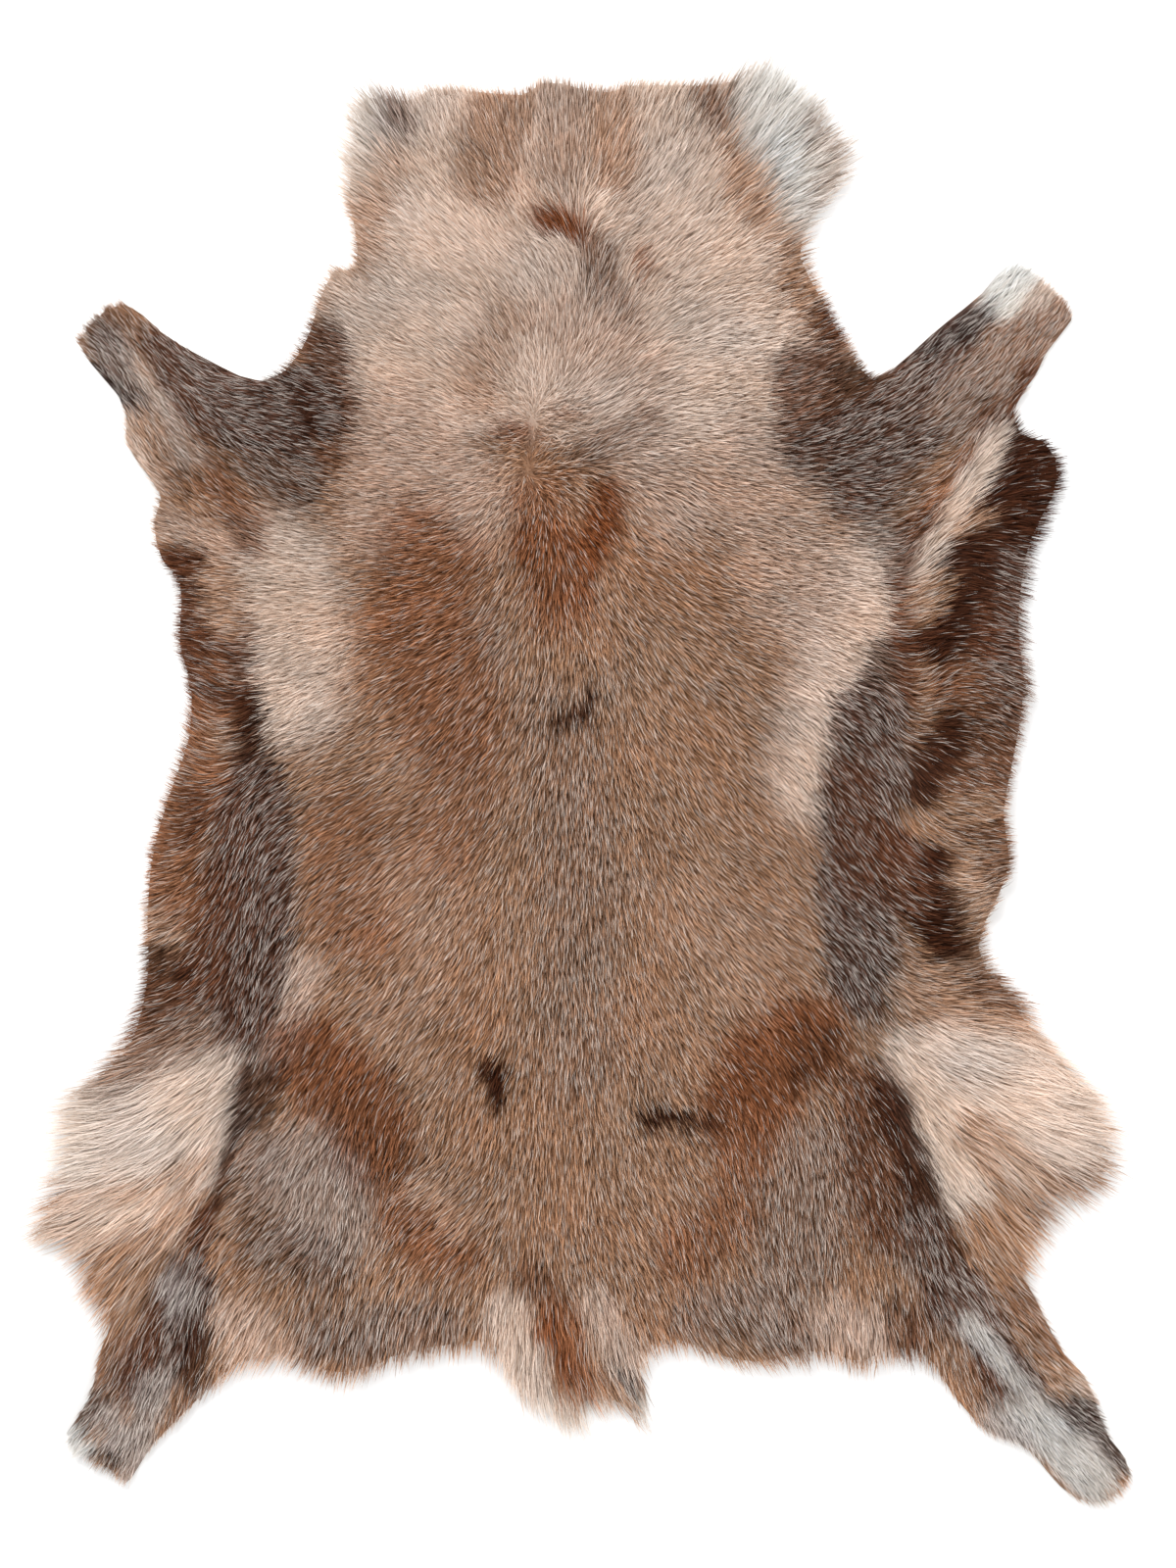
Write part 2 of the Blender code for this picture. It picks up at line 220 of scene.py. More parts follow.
    Patch("withers_blend_right", Hair.SAND, 14, 40, ((66, 290), (92, 252)), 0.75),
    Patch("withers_blend_left", Hair.SAND, 14, 40, ((-118, 288), (-88, 252)), 0.75),
    Patch("russet_spine_right", Hair.CHESTNUT, 9, 17, ((26, 262), (18, 230), (4, 205)), 0.95),
    Patch("russet_spine_left", Hair.CHESTNUT, 16, 17, ((-36, 218), (-15, 200), (-12, 178))),
    Patch("russet_spine_low", Hair.RUSSET, 16, 26, ((-38, 250), (-22, 160)), 0.7),
    Patch("grey_left", Hair.SMOKE, 8, 18, ((-88, 148), (-78, 122)), 0.6),
    Patch("spine_grey", Hair.SMOKE, 16, 40, ((-20, 60), (-2, -60), (0, -260)), 0.5),
    Patch("comma", Hair.SOOT, 4.5, 6, ((9, 76), (2, 62), (-22, 58)), 0.95),
    # body, lower
    Patch("body_left_low", Hair.RUSSET, 24, 40, ((-215, -40), (-205, -120)), 0.55),
    Patch("body_left_pale", Hair.FAWN, 14, 36, ((-160, -85), (-130, -125)), 0.6),
    Patch("body_left_low_pale", Hair.FAWN, 12, 30, ((-140, -180), (-170, -215)), 0.4),
    Patch("body_right_low", Hair.TAN, 30, 40, ((120, -60), (180, -90)), 0.6),
    Patch("body_right_low_pale", Hair.FAWN, 24, 34, ((165, -180), (110, -120)), 0.5),
    Patch("scar_pale_left", Hair.SAND, 1, 5, ((22, -98), (60, -94)), 0.7),
    Patch("scar_pale_right", Hair.SAND, 1, 4, ((150, -130), (192, -116)), 0.5),
    # flank bands
    # painted shade in the crease where the back meets the left flank
    Patch("crease_left_top_painted_shade", Hair.UMBER, 6, 12, ((-312, 145), (-314, 115), (-304, 75)), 0.95),
    Patch("crease_left_side_painted_shade", Hair.SOOT, 12, 14, ((-312, 70), (-306, 20), (-292, 8))),
    Patch("band_left", Hair.SLATE, 32, 18, ((-302, -20), (-300, -90), (-303, -170), (-300, -215))),
    Patch("band_left_warm", Hair.UMBER, 24, 18, ((-302, -20), (-300, -90), (-303, -170), (-300, -215)), 0.35),
    Patch("band_left_outer", Hair.UMBER, 13, 16, ((-342, -90), (-345, -150), (-352, -195)), 0.95),
    Patch("flank_left_light", Hair.SAND, 8, 14, ((-254, -170), (-266, -235), (-286, -258)), 0.8),
    # painted shade in the crease of the right flank trough, up to the foreleg
    Patch("crease_right_arm_painted_shade", Hair.UMBER, 5, 11, ((316, 245), (294, 213), (290, 190)), 0.8),
    Patch("crease_right_flank_painted_shade", Hair.UMBER, 5, 11, ((293, 185), (296, 120), (298, 60))),
    Patch("band_right_top", Hair.SOOT, 7, 13, ((280, 125), (272, 100), (262, 88)), 0.8),
    Patch("band_right", Hair.SLATE, 26, 22, ((268, 55), (256, -20), (252, -100), (262, -180))),
    Patch("band_right_deep", Hair.UMBER, 16, 18, ((248, 0), (262, -50), (262, -80)), 0.7),
    Patch("band_right_out", Hair.UMBER, 12, 16, ((292, -60), (300, -105))),
    # left flank strip
    Patch("strip_left_upper", Hair.UMBER, 14, 14, ((-360, 175), (-358, 130))),
    Patch("strip_left_upper_pale", Hair.FAWN, 12, 14, ((-330, 188), (-325, 150)), 0.8),
    Patch("strip_left_brown", Hair.UMBER, 20, 14, ((-350, 118), (-345, 72))),
    Patch("strip_left", Hair.RUSSET, 24, 14, ((-352, 50), (-362, 0), (-378, -60), (-380, -110)), 0.8),
    Patch("lobe_left_top", Hair.RUSSET, 5, 9, ((-336, 114), (-330, 98)), 0.6),
    Patch("lobe_left_upper", Hair.FAWN, 5, 10, ((-332, 48), (-322, 36)), 0.5),
    Patch("lobe_left_middle", Hair.RUSSET, 5, 9, ((-340, 14), (-328, 6)), 0.6),
    Patch("strip_left_dark", Hair.UMBER, 6, 12, ((-352, -8), (-358, -50)), 0.8),
    Patch("lobe_left_lower", Hair.FAWN, 6, 10, ((-392, -124), (-375, -142)), 0.7),
    # painted shade in a hollow between the left edge's lobes
    Patch("strip_left_hollow_painted_shade", Hair.SOOT, 9, 12, ((-388, -160), (-368, -170)), 0.8),
    Patch("strip_left_lower", Hair.UMBER, 17, 15, ((-395, -195), (-375, -210), (-400, -225)), 0.85),
    # groins
    Patch("groin_left", Hair.SHELL, 52, 18, ((-362, -300), (-400, -335), (-430, -345))),
    Patch("groin_left_inner", Hair.BEIGE, 18, 8, ((-330, -262), (-336, -300), (-354, -350))),
    Patch("groin_left_top", Hair.SMOKE, 12, 18, ((-352, -225), (-400, -252), (-440, -275)), 0.8),
    Patch("groin_left_rim", Hair.CREAM, 14, 14, ((-460, -295), (-470, -345)), 0.8),
    Patch("groin_left_streak", Hair.FAWN, 4, 10, ((-345, -345), (-395, -372), (-462, -385)), 0.85),
    Patch("groin_left_low", Hair.BEIGE, 15, 18, ((-385, -405), (-440, -400), (-480, -412)), 0.7),
    Patch("groin_left_deep", Hair.TAN, 6, 12, ((-398, -415), (-430, -432)), 0.6),
    Patch("groin_left_line", Hair.FAWN, 4, 9, ((-358, -372), (-392, -420), (-402, -460)), 0.8),
    Patch("groin_left_end", Hair.TAN, 20, 16, ((-405, -450), (-415, -485)), 0.85),
    Patch("groin_right", Hair.SHELL, 54, 16, ((345, -275), (395, -280), (425, -310))),
    Patch("groin_right_inner", Hair.BEIGE, 19, 9, ((296, -245), (314, -290), (338, -350), (355, -385))),
    Patch("groin_right_top", Hair.FAWN, 16, 18, ((305, -190), (350, -185), (400, -205)), 0.7),
    Patch("groin_right_dark", Hair.UMBER, 9, 14, ((368, -182), (396, -196)), 0.6),
    Patch("groin_right_grey", Hair.FAWN, 6, 12, ((350, -215), (400, -222), (425, -235)), 0.3),
    Patch("groin_right_streak", Hair.FAWN, 7, 12, ((365, -312), (405, -345), (440, -378)), 0.85),
    Patch("groin_right_line", Hair.TAN, 3, 8, ((345, -320), (375, -350), (412, -400)), 0.75),
    Patch("groin_right_tip", Hair.SMOKE, 8, 14, ((455, -365), (430, -390)), 0.7),
    Patch("groin_right_rim", Hair.BEIGE, 10, 14, ((462, -290), (476, -330)), 0.8),
    Patch("groin_right_low", Hair.TAN, 16, 16, ((365, -412), (395, -425), (405, -455))),
    # rump
    Patch("rump_left_russet", Hair.CHESTNUT, 24, 30, ((-250, -250), (-205, -285), (-188, -335)), 0.8),
    Patch("rump_left_side", Hair.SOOT, 11, 13, ((-286, -268), (-298, -300)), 0.8),
    Patch("rump_left_edge", Hair.SMOKE, 14, 14, ((-300, -335), (-305, -370)), 0.8),
    Patch("rump_left_grey", Hair.ASH, 24, 36, ((-255, -350), (-225, -400)), 0.5),
    Patch("rump_left_dark", Hair.SLATE, 14, 22, ((-295, -415), (-265, -430), (-230, -445)), 0.6),
    Patch("rump_left_mid", Hair.RUSSET, 12, 20, ((-165, -390), (-140, -425), (-110, -430)), 0.8),
    Patch("rump_left_swirl", Hair.FAWN, 9, 14, ((-140, -365), (-115, -400)), 0.7),
    Patch("rump_right_russet", Hair.CHESTNUT, 26, 34, ((205, -235), (175, -255), (150, -300)), 0.85),
    Patch("rump_right_deep", Hair.SOOT, 11, 18, ((222, -238), (205, -262)), 0.5),
    Patch("rump_right_low", Hair.RUSSET, 16, 24, ((155, -325), (140, -400), (95, -430)), 0.7),
    Patch("rump_right_grey", Hair.SMOKE, 26, 30, ((215, -350), (200, -430)), 0.8),
    Patch("rump_right_side", Hair.UMBER, 20, 26, ((265, -285), (275, -345), (285, -400)), 0.85),
    # painted shade in the crease between the groin's pale hair and the right thigh
    Patch("rump_right_crease_painted_shade", Hair.SOOT, 12, 9, ((282, -285), (305, -350), (320, -400), (342, -440)), 0.9),
    Patch("rump_right_blue", Hair.SLATE, 13, 16, ((312, -405), (322, -450)), 0.8),
    Patch("rump_left_hem", Hair.SMOKE, 17, 16, ((-240, -505), (-180, -500), (-130, -495)), 0.9),
    Patch("rump_left_hem_dark", Hair.SLATE, 8, 14, ((-235, -515), (-190, -515)), 0.5),
    Patch("rump_left_corner", Hair.SAND, 16, 18, ((-312, -495), (-290, -515)), 0.7),
    Patch("rump_right_hem", Hair.SMOKE, 17, 18, ((110, -490), (160, -475), (200, -505)), 0.9),
    Patch("rump_right_hem_dark", Hair.SLATE, 4, 14, ((145, -500), (185, -518)), 0.35),
    Patch("rump_right_corner", Hair.SAND, 16, 16, ((232, -490), (262, -505)), 0.9),
    Patch("rump_right_fold", Hair.UMBER, 9, 11, ((292, -480), (296, -520)), 0.6),
    Patch("rump_right_leg", Hair.UMBER, 12, 12, ((315, -490), (318, -520)), 0.6),
    Patch("tuft_dark", Hair.SOOT, 7, 5, ((-86, -257), (-74, -272), (-76, -290))),
    Patch("scar_dark", Hair.SOOT, 6, 5, ((62, -309), (80, -304))),
    Patch("scar_line", Hair.SOOT, 4, 4, ((80, -304), (126, -313)), 0.95),
    # left hind leg
    # painted shade in the crease between the groin's pale hair and the left thigh
    Patch("leg_left_crease_painted_shade", Hair.SOOT, 4.5, 6, ((-309, -262), (-316, -315), (-334, -378), (-348, -415)), 0.9),
    Patch("leg_left_top", Hair.UMBER, 9, 9, ((-345, -400), (-352, -430)), 0.9),
    Patch("leg_left", Hair.SLATE, 22, 12, ((-358, -455), (-372, -500), (-400, -545))),
    Patch("leg_left_grey", Hair.ASH, 9, 14, ((-372, -458), (-368, -475)), 0.5),
    Patch("leg_left_dark", Hair.SOOT, 9, 11, ((-350, -500), (-355, -545)), 0.85),
    Patch("leg_left_line", Hair.UMBER, 7, 8, ((-393, -485), (-390, -525)), 0.9),
    Patch("leg_left_brown", Hair.UMBER, 15, 12, ((-418, -515), (-428, -550)), 0.5),
    Patch("leg_left_side", Hair.SLATE, 8, 10, ((-345, -560), (-366, -580)), 0.5),
    Patch("leg_left_streak", Hair.ASH, 8, 10, ((-385, -545), (-400, -590), (-408, -640)), 0.7),
    Patch("foot_left_dark", Hair.COAL, 7, 8, ((-445, -560), (-460, -585)), 0.8),
    Patch("foot_left_mid", Hair.ASH, 9, 10, ((-432, -580), (-425, -600)), 0.7),
    Patch("foot_left_cream", Hair.SNOW, 9, 6, ((-470, -600), (-456, -610))),
    Patch("foot_left_coal", Hair.COAL, 4, 7, ((-445, -614), (-424, -620)), 0.9),
    # right hind leg
    Patch("leg_right", Hair.SLATE, 26, 12, ((345, -470), (365, -520), (395, -555))),
    Patch("leg_right_ash", Hair.SLATE, 8, 12, ((352, -455), (385, -492)), 0.5),
    Patch("leg_right_outer", Hair.UMBER, 12, 12, ((405, -470), (432, -512)), 0.5),
    Patch("leg_right_inner", Hair.TAN, 12, 12, ((335, -520), (362, -570)), 0.7),
    Patch("leg_right_dark", Hair.UMBER, 7, 10, ((366, -530), (382, -565)), 0.55),
    Patch("leg_right_snow", Hair.SNOW, 5, 9, ((360, -498), (392, -535), (415, -568)), 0.6),
    Patch("shin_right", Hair.ASH, 20, 12, ((410, -580), (445, -600), (470, -630))),
    Patch("shin_right_snow", Hair.SNOW, 13, 12, ((412, -582), (448, -612), (472, -642)), 0.6),
    Patch("shin_right_side", Hair.ASH, 8, 12, ((378, -585), (402, -605)), 0.85),
    Patch("shin_right_edge", Hair.BEIGE, 5, 8, ((455, -545), (468, -552)), 0.5),
    Patch("foot_right_coal", Hair.COAL, 12, 8, ((452, -572), (474, -585)), 0.95),
    Patch("foot_right_tip", Hair.COAL, 8, 6, ((486, -606), (500, -622)), 0.9),
    # tail
    Patch("tail_top", Hair.UMBER, 9, 14, ((-48, -448), (-28, -470)), 0.6),
    Patch("tail_left", Hair.BEIGE, 14, 13, ((-68, -485), (-56, -530), (-45, -560)), 0.9),
    Patch("tail_right", Hair.SAND, 11, 12, ((14, -475), (32, -510), (50, -545)), 0.9),
    Patch("tail_middle", Hair.RUSSET, 15, 8, ((-18, -488), (-12, -520), (5, -550)), 0.85),
    Patch("tail_middle_dark", Hair.CHESTNUT, 6, 8, ((-32, -495), (-12, -540)), 0.8),
    Patch("tail_dark", Hair.COAL, 6, 6, ((36, -540), (50, -556)), 0.95),
    Patch("tail_tips", Hair.CREAM, 11, 9, ((-34, -584), (-5, -588), (22, -584)), 0.95),
    Patch("tail_end", Hair.SNOW, 5, 6, ((58, -575), (62, -588)), 0.9),
)


# ---------------------------------------------------------------------------- lie of the hair


class Combing(NamedTuple):
    """Strokes in one part of the coat: (across, along, heading), felt within about reach."""

    name: str
    reach: float
    strokes: tuple[tuple[float, float, float], ...]


COMBINGS = (
    Combing("neck_top", 34, (
        (-215, 600, 155), (-205, 630, 130), (-190, 570, 145), (-155, 625, 112), (-150, 570, 128),
        (-95, 610, 112), (-100, 555, 125), (-50, 600, 98), (-40, 560, 112), (-5, 620, 90),
        (0, 570, 88), (35, 570, 70), (50, 620, 70), (85, 600, 58), (125, 620, 58),
        (110, 560, 50), (165, 640, 58), (205, 620, 45), (160, 570, 45), (215, 580, 35),
        (245, 565, 22), (228, 540, 15), (215, 515, 12),
    )),
    Combing("neck_mid", 34, (
        (-205, 520, 160), (-160, 510, 150), (-110, 510, 142), (-60, 520, 130), (-25, 530, 125),
        (-10, 505, 200), (12, 528, 20), (25, 515, 5), (55, 530, 42), (100, 510, 38),
        (150, 520, 32), (200, 530, 25), (-215, 475, 150), (-165, 460, 155), (-115, 460, 150),
        (-60, 470, 145), (-20, 470, 125), (20, 470, 70), (60, 470, 42), (105, 465, 25),
        (160, 465, 12), (205, 475, 18),
    )),
    Combing("neck_low", 34, (
        (-215, 430, 158), (-165, 415, 160), (-120, 425, 150), (-75, 425, 138), (-40, 420, 100),
        (0, 425, 82), (35, 430, 58), (75, 415, 30), (120, 415, 8), (170, 415, 5),
        (220, 435, 12), (-215, 375, 172), (-160, 375, 170), (-105, 385, 152), (-60, 385, 122),
        (-25, 392, 85), (10, 385, 55), (50, 385, 25), (100, 375, 8), (150, 375, 2),
        (200, 385, 12), (240, 395, 15),
    )),
    Combing("withers_wide", 26, (
        (-75, 350, 165), (-85, 325, 180), (-85, 295, 195), (30, 345, 15), (35, 315, 28),
        (45, 285, 340), (80, 300, 352), (20, 265, 318),
    )),
    Combing("withers", 15, (
        (-42, 368, 108), (-25, 382, 85), (-5, 380, 60), (12, 366, 30), (-2, 352, 8),
        (-25, 352, 20), (-58, 345, 165), (-32, 338, 352), (-10, 337, 358), (12, 338, 12),
        (-28, 324, 338), (-8, 320, 350), (12, 322, 22), (-58, 325, 188), (-60, 300, 195),
        (-30, 303, 20), (-12, 303, 38), (8, 308, 34), (-70, 285, 192), (-64, 265, 215),
        (-38, 288, 35), (-18, 285, 5), (-50, 262, 258), (-34, 268, 318), (-22, 252, 305),
        (0, 275, 330), (-50, 240, 262),
    )),
    Combing("body_left_upper", 34, (
        (-150, 330, 172), (-205, 330, 172), (-150, 285, 180), (-205, 285, 172), (-110, 250, 200),
        (-160, 240, 184), (-210, 235, 178), (-265, 235, 165), (-65, 240, 245), (-45, 205, 264),
        (-85, 200, 236), (-130, 195, 194), (-185, 190, 185), (-240, 185, 182), (-295, 190, 180),
        (-48, 150, 262), (-82, 150, 226), (-118, 145, 200), (-165, 140, 206), (-215, 135, 208),
        (-270, 140, 190),
    )),
    Combing("body_left_mid", 34, (
        (-50, 100, 262), (-85, 92, 238), (-130, 92, 226), (-175, 88, 214), (-225, 85, 209),
        (-280, 85, 205), (-50, 45, 254), (-100, 42, 234), (-150, 38, 220), (-205, 35, 211),
        (-262, 30, 208), (-50, -5, 250), (-100, -10, 230), (-150, -15, 218), (-205, -15, 209),
        (-258, -20, 216), (-50, -55, 255), (-100, -60, 230), (-150, -60, 217), (-205, -65, 212),
        (-258, -70, 224),
    )),
    Combing("body_left_low", 34, (
        (-50, -110, 262), (-100, -110, 241), (-150, -110, 229), (-205, -115, 223), (-252, -120, 236),
        (-50, -160, 264), (-100, -165, 245), (-150, -165, 231), (-205, -170, 226), (-252, -170, 240),
        (-50, -215, 262), (-100, -215, 243), (-150, -218, 229), (-205, -218, 226), (-255, -225, 233),
        (-100, -265, 242), (-150, -270, 235), (-205, -270, 240), (-250, -275, 240),
    )),
    Combing("body_right_upper", 34, (
        (95, 345, 8), (150, 325, 0), (115, 305, 350), (165, 280, 348), (215, 270, 352),
        (75, 265, 318), (120, 250, 334), (175, 235, 345), (235, 235, 352), (0, 240, 305),
        (35, 225, 308), (80, 205, 322), (130, 195, 337), (185, 185, 346), (240, 180, 350),
        (5, 180, 290), (45, 155, 304), (90, 150, 322), (140, 145, 335), (195, 135, 337),
        (250, 135, 340),
    )),
    Combing("body_right_mid", 34, (
        (0, 120, 275), (40, 100, 290), (85, 95, 306), (130, 92, 318), (180, 88, 326),
        (232, 90, 330), (0, 50, 268), (48, 45, 289), (98, 42, 305), (148, 38, 315),
        (198, 35, 318), (245, 40, 308), (0, 0, 272), (48, -5, 287), (98, -8, 307),
        (148, -12, 315), (198, -15, 312), (242, -10, 304), (0, -55, 272), (48, -58, 285),
        (98, -60, 305), (148, -62, 318), (198, -65, 316), (246, -60, 311),
    )),
    Combing("body_right_low", 34, (
        (0, -110, 271), (48, -110, 278), (98, -110, 300), (148, -112, 318), (198, -115, 322),
        (246, -115, 314), (0, -165, 272), (48, -165, 285), (98, -165, 303), (148, -165, 312),
        (198, -168, 314), (246, -168, 304), (0, -215, 272), (48, -218, 285), (98, -218, 304),
        (148, -218, 312), (200, -220, 310), (248, -222, 300), (0, -265, 270), (50, -268, 285),
        (100, -268, 300), (150, -268, 308), (200, -270, 300), (248, -270, 300),
    )),
    Combing("rump_left", 34, (
        (-50, -310, 268), (-100, -310, 256), (-150, -312, 250), (-200, -320, 262), (-250, -320, 246),
        (-290, -315, 214), (-55, -360, 266), (-90, -355, 240), (-135, -360, 215), (-115, -385, 206),
        (-205, -372, 265), (-250, -368, 262), (-292, -368, 222), (-55, -410, 266), (-105, -420, 234),
        (-155, -415, 228), (-205, -425, 262), (-262, -412, 216), (-305, -410, 218), (-60, -460, 262),
        (-110, -465, 255), (-160, -460, 254), (-210, -470, 258), (-260, -460, 250), (-310, -460, 240),
        (-100, -510, 267), (-150, -510, 261), (-200, -520, 256), (-250, -520, 246), (-305, -515, 242),
    )),
    Combing("rump_right", 34, (
        (0, -320, 274), (50, -320, 286), (100, -325, 302), (150, -315, 288), (200, -320, 280),
        (250, -315, 291), (0, -370, 278), (50, -370, 292), (100, -372, 298), (150, -368, 277),
        (200, -370, 273), (250, -370, 284), (292, -360, 298), (0, -415, 284), (50, -415, 303),
        (100, -420, 284), (150, -420, 290), (200, -422, 276), (250, -422, 276), (300, -415, 284),
        (0, -460, 280), (50, -462, 294), (100, -465, 292), (150, -465, 300), (200, -468, 284),
        (250, -470, 273), (300, -470, 275), (80, -510, 280), (130, -512, 308), (180, -515, 300),
        (225, -510, 284), (265, -510, 275), (305, -512, 272),
    )),
    Combing("tail", 22, (
        (-60, -505, 268), (-50, -550, 276), (-25, -500, 276), (-5, -545, 290), (15, -505, 288),
        (38, -530, 300), (50, -560, 302), (0, -580, 292),
    )),
    Combing("arm_left", 30, (
        (-232, 425, 150), (-232, 380, 168), (-235, 335, 176), (-275, 375, 162), (-280, 335, 176),
        (-325, 355, 172), (-345, 385, 150), (-375, 385, 136), (-400, 415, 128), (-430, 420, 125),
        (-450, 400, 150), (-425, 375, 132), (-395, 365, 122), (-405, 325, 118), (-365, 330, 128),
        (-325, 310, 142), (-375, 290, 130), (-335, 270, 138), (-290, 280, 148), (-255, 290, 158),
        (-350, 245, 146), (-310, 235, 150), (-385, 235, 158), (-365, 203, 184),
    )),
    Combing("strip_left", 24, (
        (-355, 175, 182), (-325, 165, 178), (-355, 135, 180), (-320, 125, 172), (-345, 100, 152),
        (-320, 90, 160), (-350, 60, 146), (-325, 45, 150), (-360, 20, 142), (-332, 8, 165),
        (-368, -20, 146), (-345, -25, 215), (-380, -60, 168), (-355, -70, 205), (-388, -100, 186),
        (-360, -110, 212), (-392, -140, 200), (-362, -150, 215), (-390, -180, 192), (-360, -195, 212),
        (-405, -220, 196), (-375, -225, 206),
    )),
    Combing("band_left", 22, (
        (-300, 50, 212), (-300, 10, 228), (-310, -25, 262), (-290, -60, 258), (-318, -65, 256),
        (-340, -95, 240), (-300, -110, 266), (-325, -140, 252), (-298, -160, 264), (-335, -175, 238),
        (-305, -205, 258), (-302, -240, 246), (-290, -265, 228),
    )),
    Combing("groin_left", 28, (
        (-340, -240, 212), (-335, -275, 222), (-375, -265, 202), (-420, -265, 195), (-370, -300, 210),
        (-420, -305, 190), (-455, -310, 184), (-335, -320, 234), (-375, -340, 216), (-420, -345, 197),
        (-465, -350, 184), (-355, -370, 228), (-395, -385, 212), (-440, -385, 200), (-480, -400, 196),
        (-370, -410, 236), (-415, -425, 224), (-450, -430, 212), (-395, -455, 240), (-435, -465, 226),
        (-425, -495, 238),
    )),
    Combing("leg_left", 24, (
        (-322, -330, 246), (-340, -385, 246), (-352, -425, 244), (-365, -460, 236), (-340, -470, 262),
        (-390, -490, 250), (-350, -510, 262), (-375, -530, 260), (-415, -520, 244), (-335, -540, 242),
        (-355, -560, 250), (-385, -565, 256), (-410, -560, 246), (-440, -560, 234), (-380, -595, 258),
        (-408, -600, 252), (-435, -595, 236), (-458, -595, 218), (-412, -632, 256),
    )),
    Combing("arm_right", 30, (
        (240, 420, 16), (215, 365, 22), (255, 375, 28), (215, 320, 18), (265, 345, 30),
        (300, 365, 38), (290, 320, 24), (250, 285, 8), (295, 285, 12), (265, 245, 356),
        (300, 250, 30), (335, 400, 38), (335, 350, 42), (365, 425, 34), (375, 380, 48),
        (400, 460, 44), (410, 425, 52), (435, 440, 50), (400, 385, 54), (430, 405, 48),
    )),
    Combing("roll_right", 18, (
        (385, 335, 58), (362, 310, 58), (372, 285, 48), (345, 270, 56), (325, 240, 54),
        (350, 240, 40), (375, 255, 20), (308, 210, 56), (320, 185, 40), (305, 165, 20),
    )),
    Combing("flap_right", 26, (
        (420, 295, 12), (395, 290, 8), (415, 250, 0), (380, 225, 345), (410, 205, 346),
        (355, 200, 345), (340, 170, 0), (380, 165, 334), (408, 155, 342), (320, 140, 20),
        (355, 125, 348), (395, 115, 335), (315, 95, 38), (340, 95, 12), (370, 85, 332),
        (400, 75, 338), (310, 60, 50), (345, 60, 350), (375, 45, 318), (400, 35, 350),
        (315, 25, 320), (345, 20, 340), (380, 5, 335), (345, -18, 352), (385, -30, 2),
        (310, -40, 310), (335, -50, 352), (385, -60, 0), (310, -80, 330), (345, -78, 0),
        (378, -90, 22), (315, -115, 345), (345, -115, 10), (365, -125, 38), (320, -145, 10),
        (350, -155, 26),
    )),
    Combing("band_right", 22, (
        (268, 105, 325), (268, 65, 306), (290, 70, 290), (270, 20, 298), (290, -5, 296),
        (270, -45, 300), (285, -85, 312), (262, -130, 306), (290, -130, 320), (268, -175, 298),
        (285, -205, 300),
    )),
    Combing("groin_right", 28, (
        (305, -180, 350), (345, -178, 14), (385, -185, 340), (305, -215, 338), (350, -215, 350),
        (395, -220, 338), (425, -240, 326), (300, -250, 318), (345, -250, 338), (390, -255, 348),
        (430, -270, 345), (320, -290, 314), (365, -290, 330), (410, -300, 348), (455, -300, 352),
        (335, -330, 308), (375, -330, 320), (420, -335, 334), (465, -335, 342), (345, -370, 308),
        (385, -370, 315), (430, -370, 325), (365, -410, 310), (400, -410, 314), (425, -400, 318),
    )),
    Combing("leg_right", 24, (
        (300, -320, 300), (318, -370, 288), (330, -420, 294), (355, -440, 308), (340, -470, 298),
        (385, -455, 316), (325, -510, 284), (370, -490, 304), (410, -490, 314), (350, -540, 292),
        (390, -530, 304), (430, -525, 314), (365, -575, 288), (400, -570, 300), (435, -560, 322),
        (460, -575, 330), (400, -605, 300), (435, -600, 308), (470, -605, 318), (450, -635, 304),
        (485, -635, 312), (500, -620, 320),
    )),
)


class Pile(NamedTuple):
    """One part's hair: its length, its clumping, how far it hangs past the rim, and its disorder."""

    name: str
    across: float
    along: float
    reach: float
    length: float
    grip: float
    loose: float = 0.04
    tousle: float = 0.2


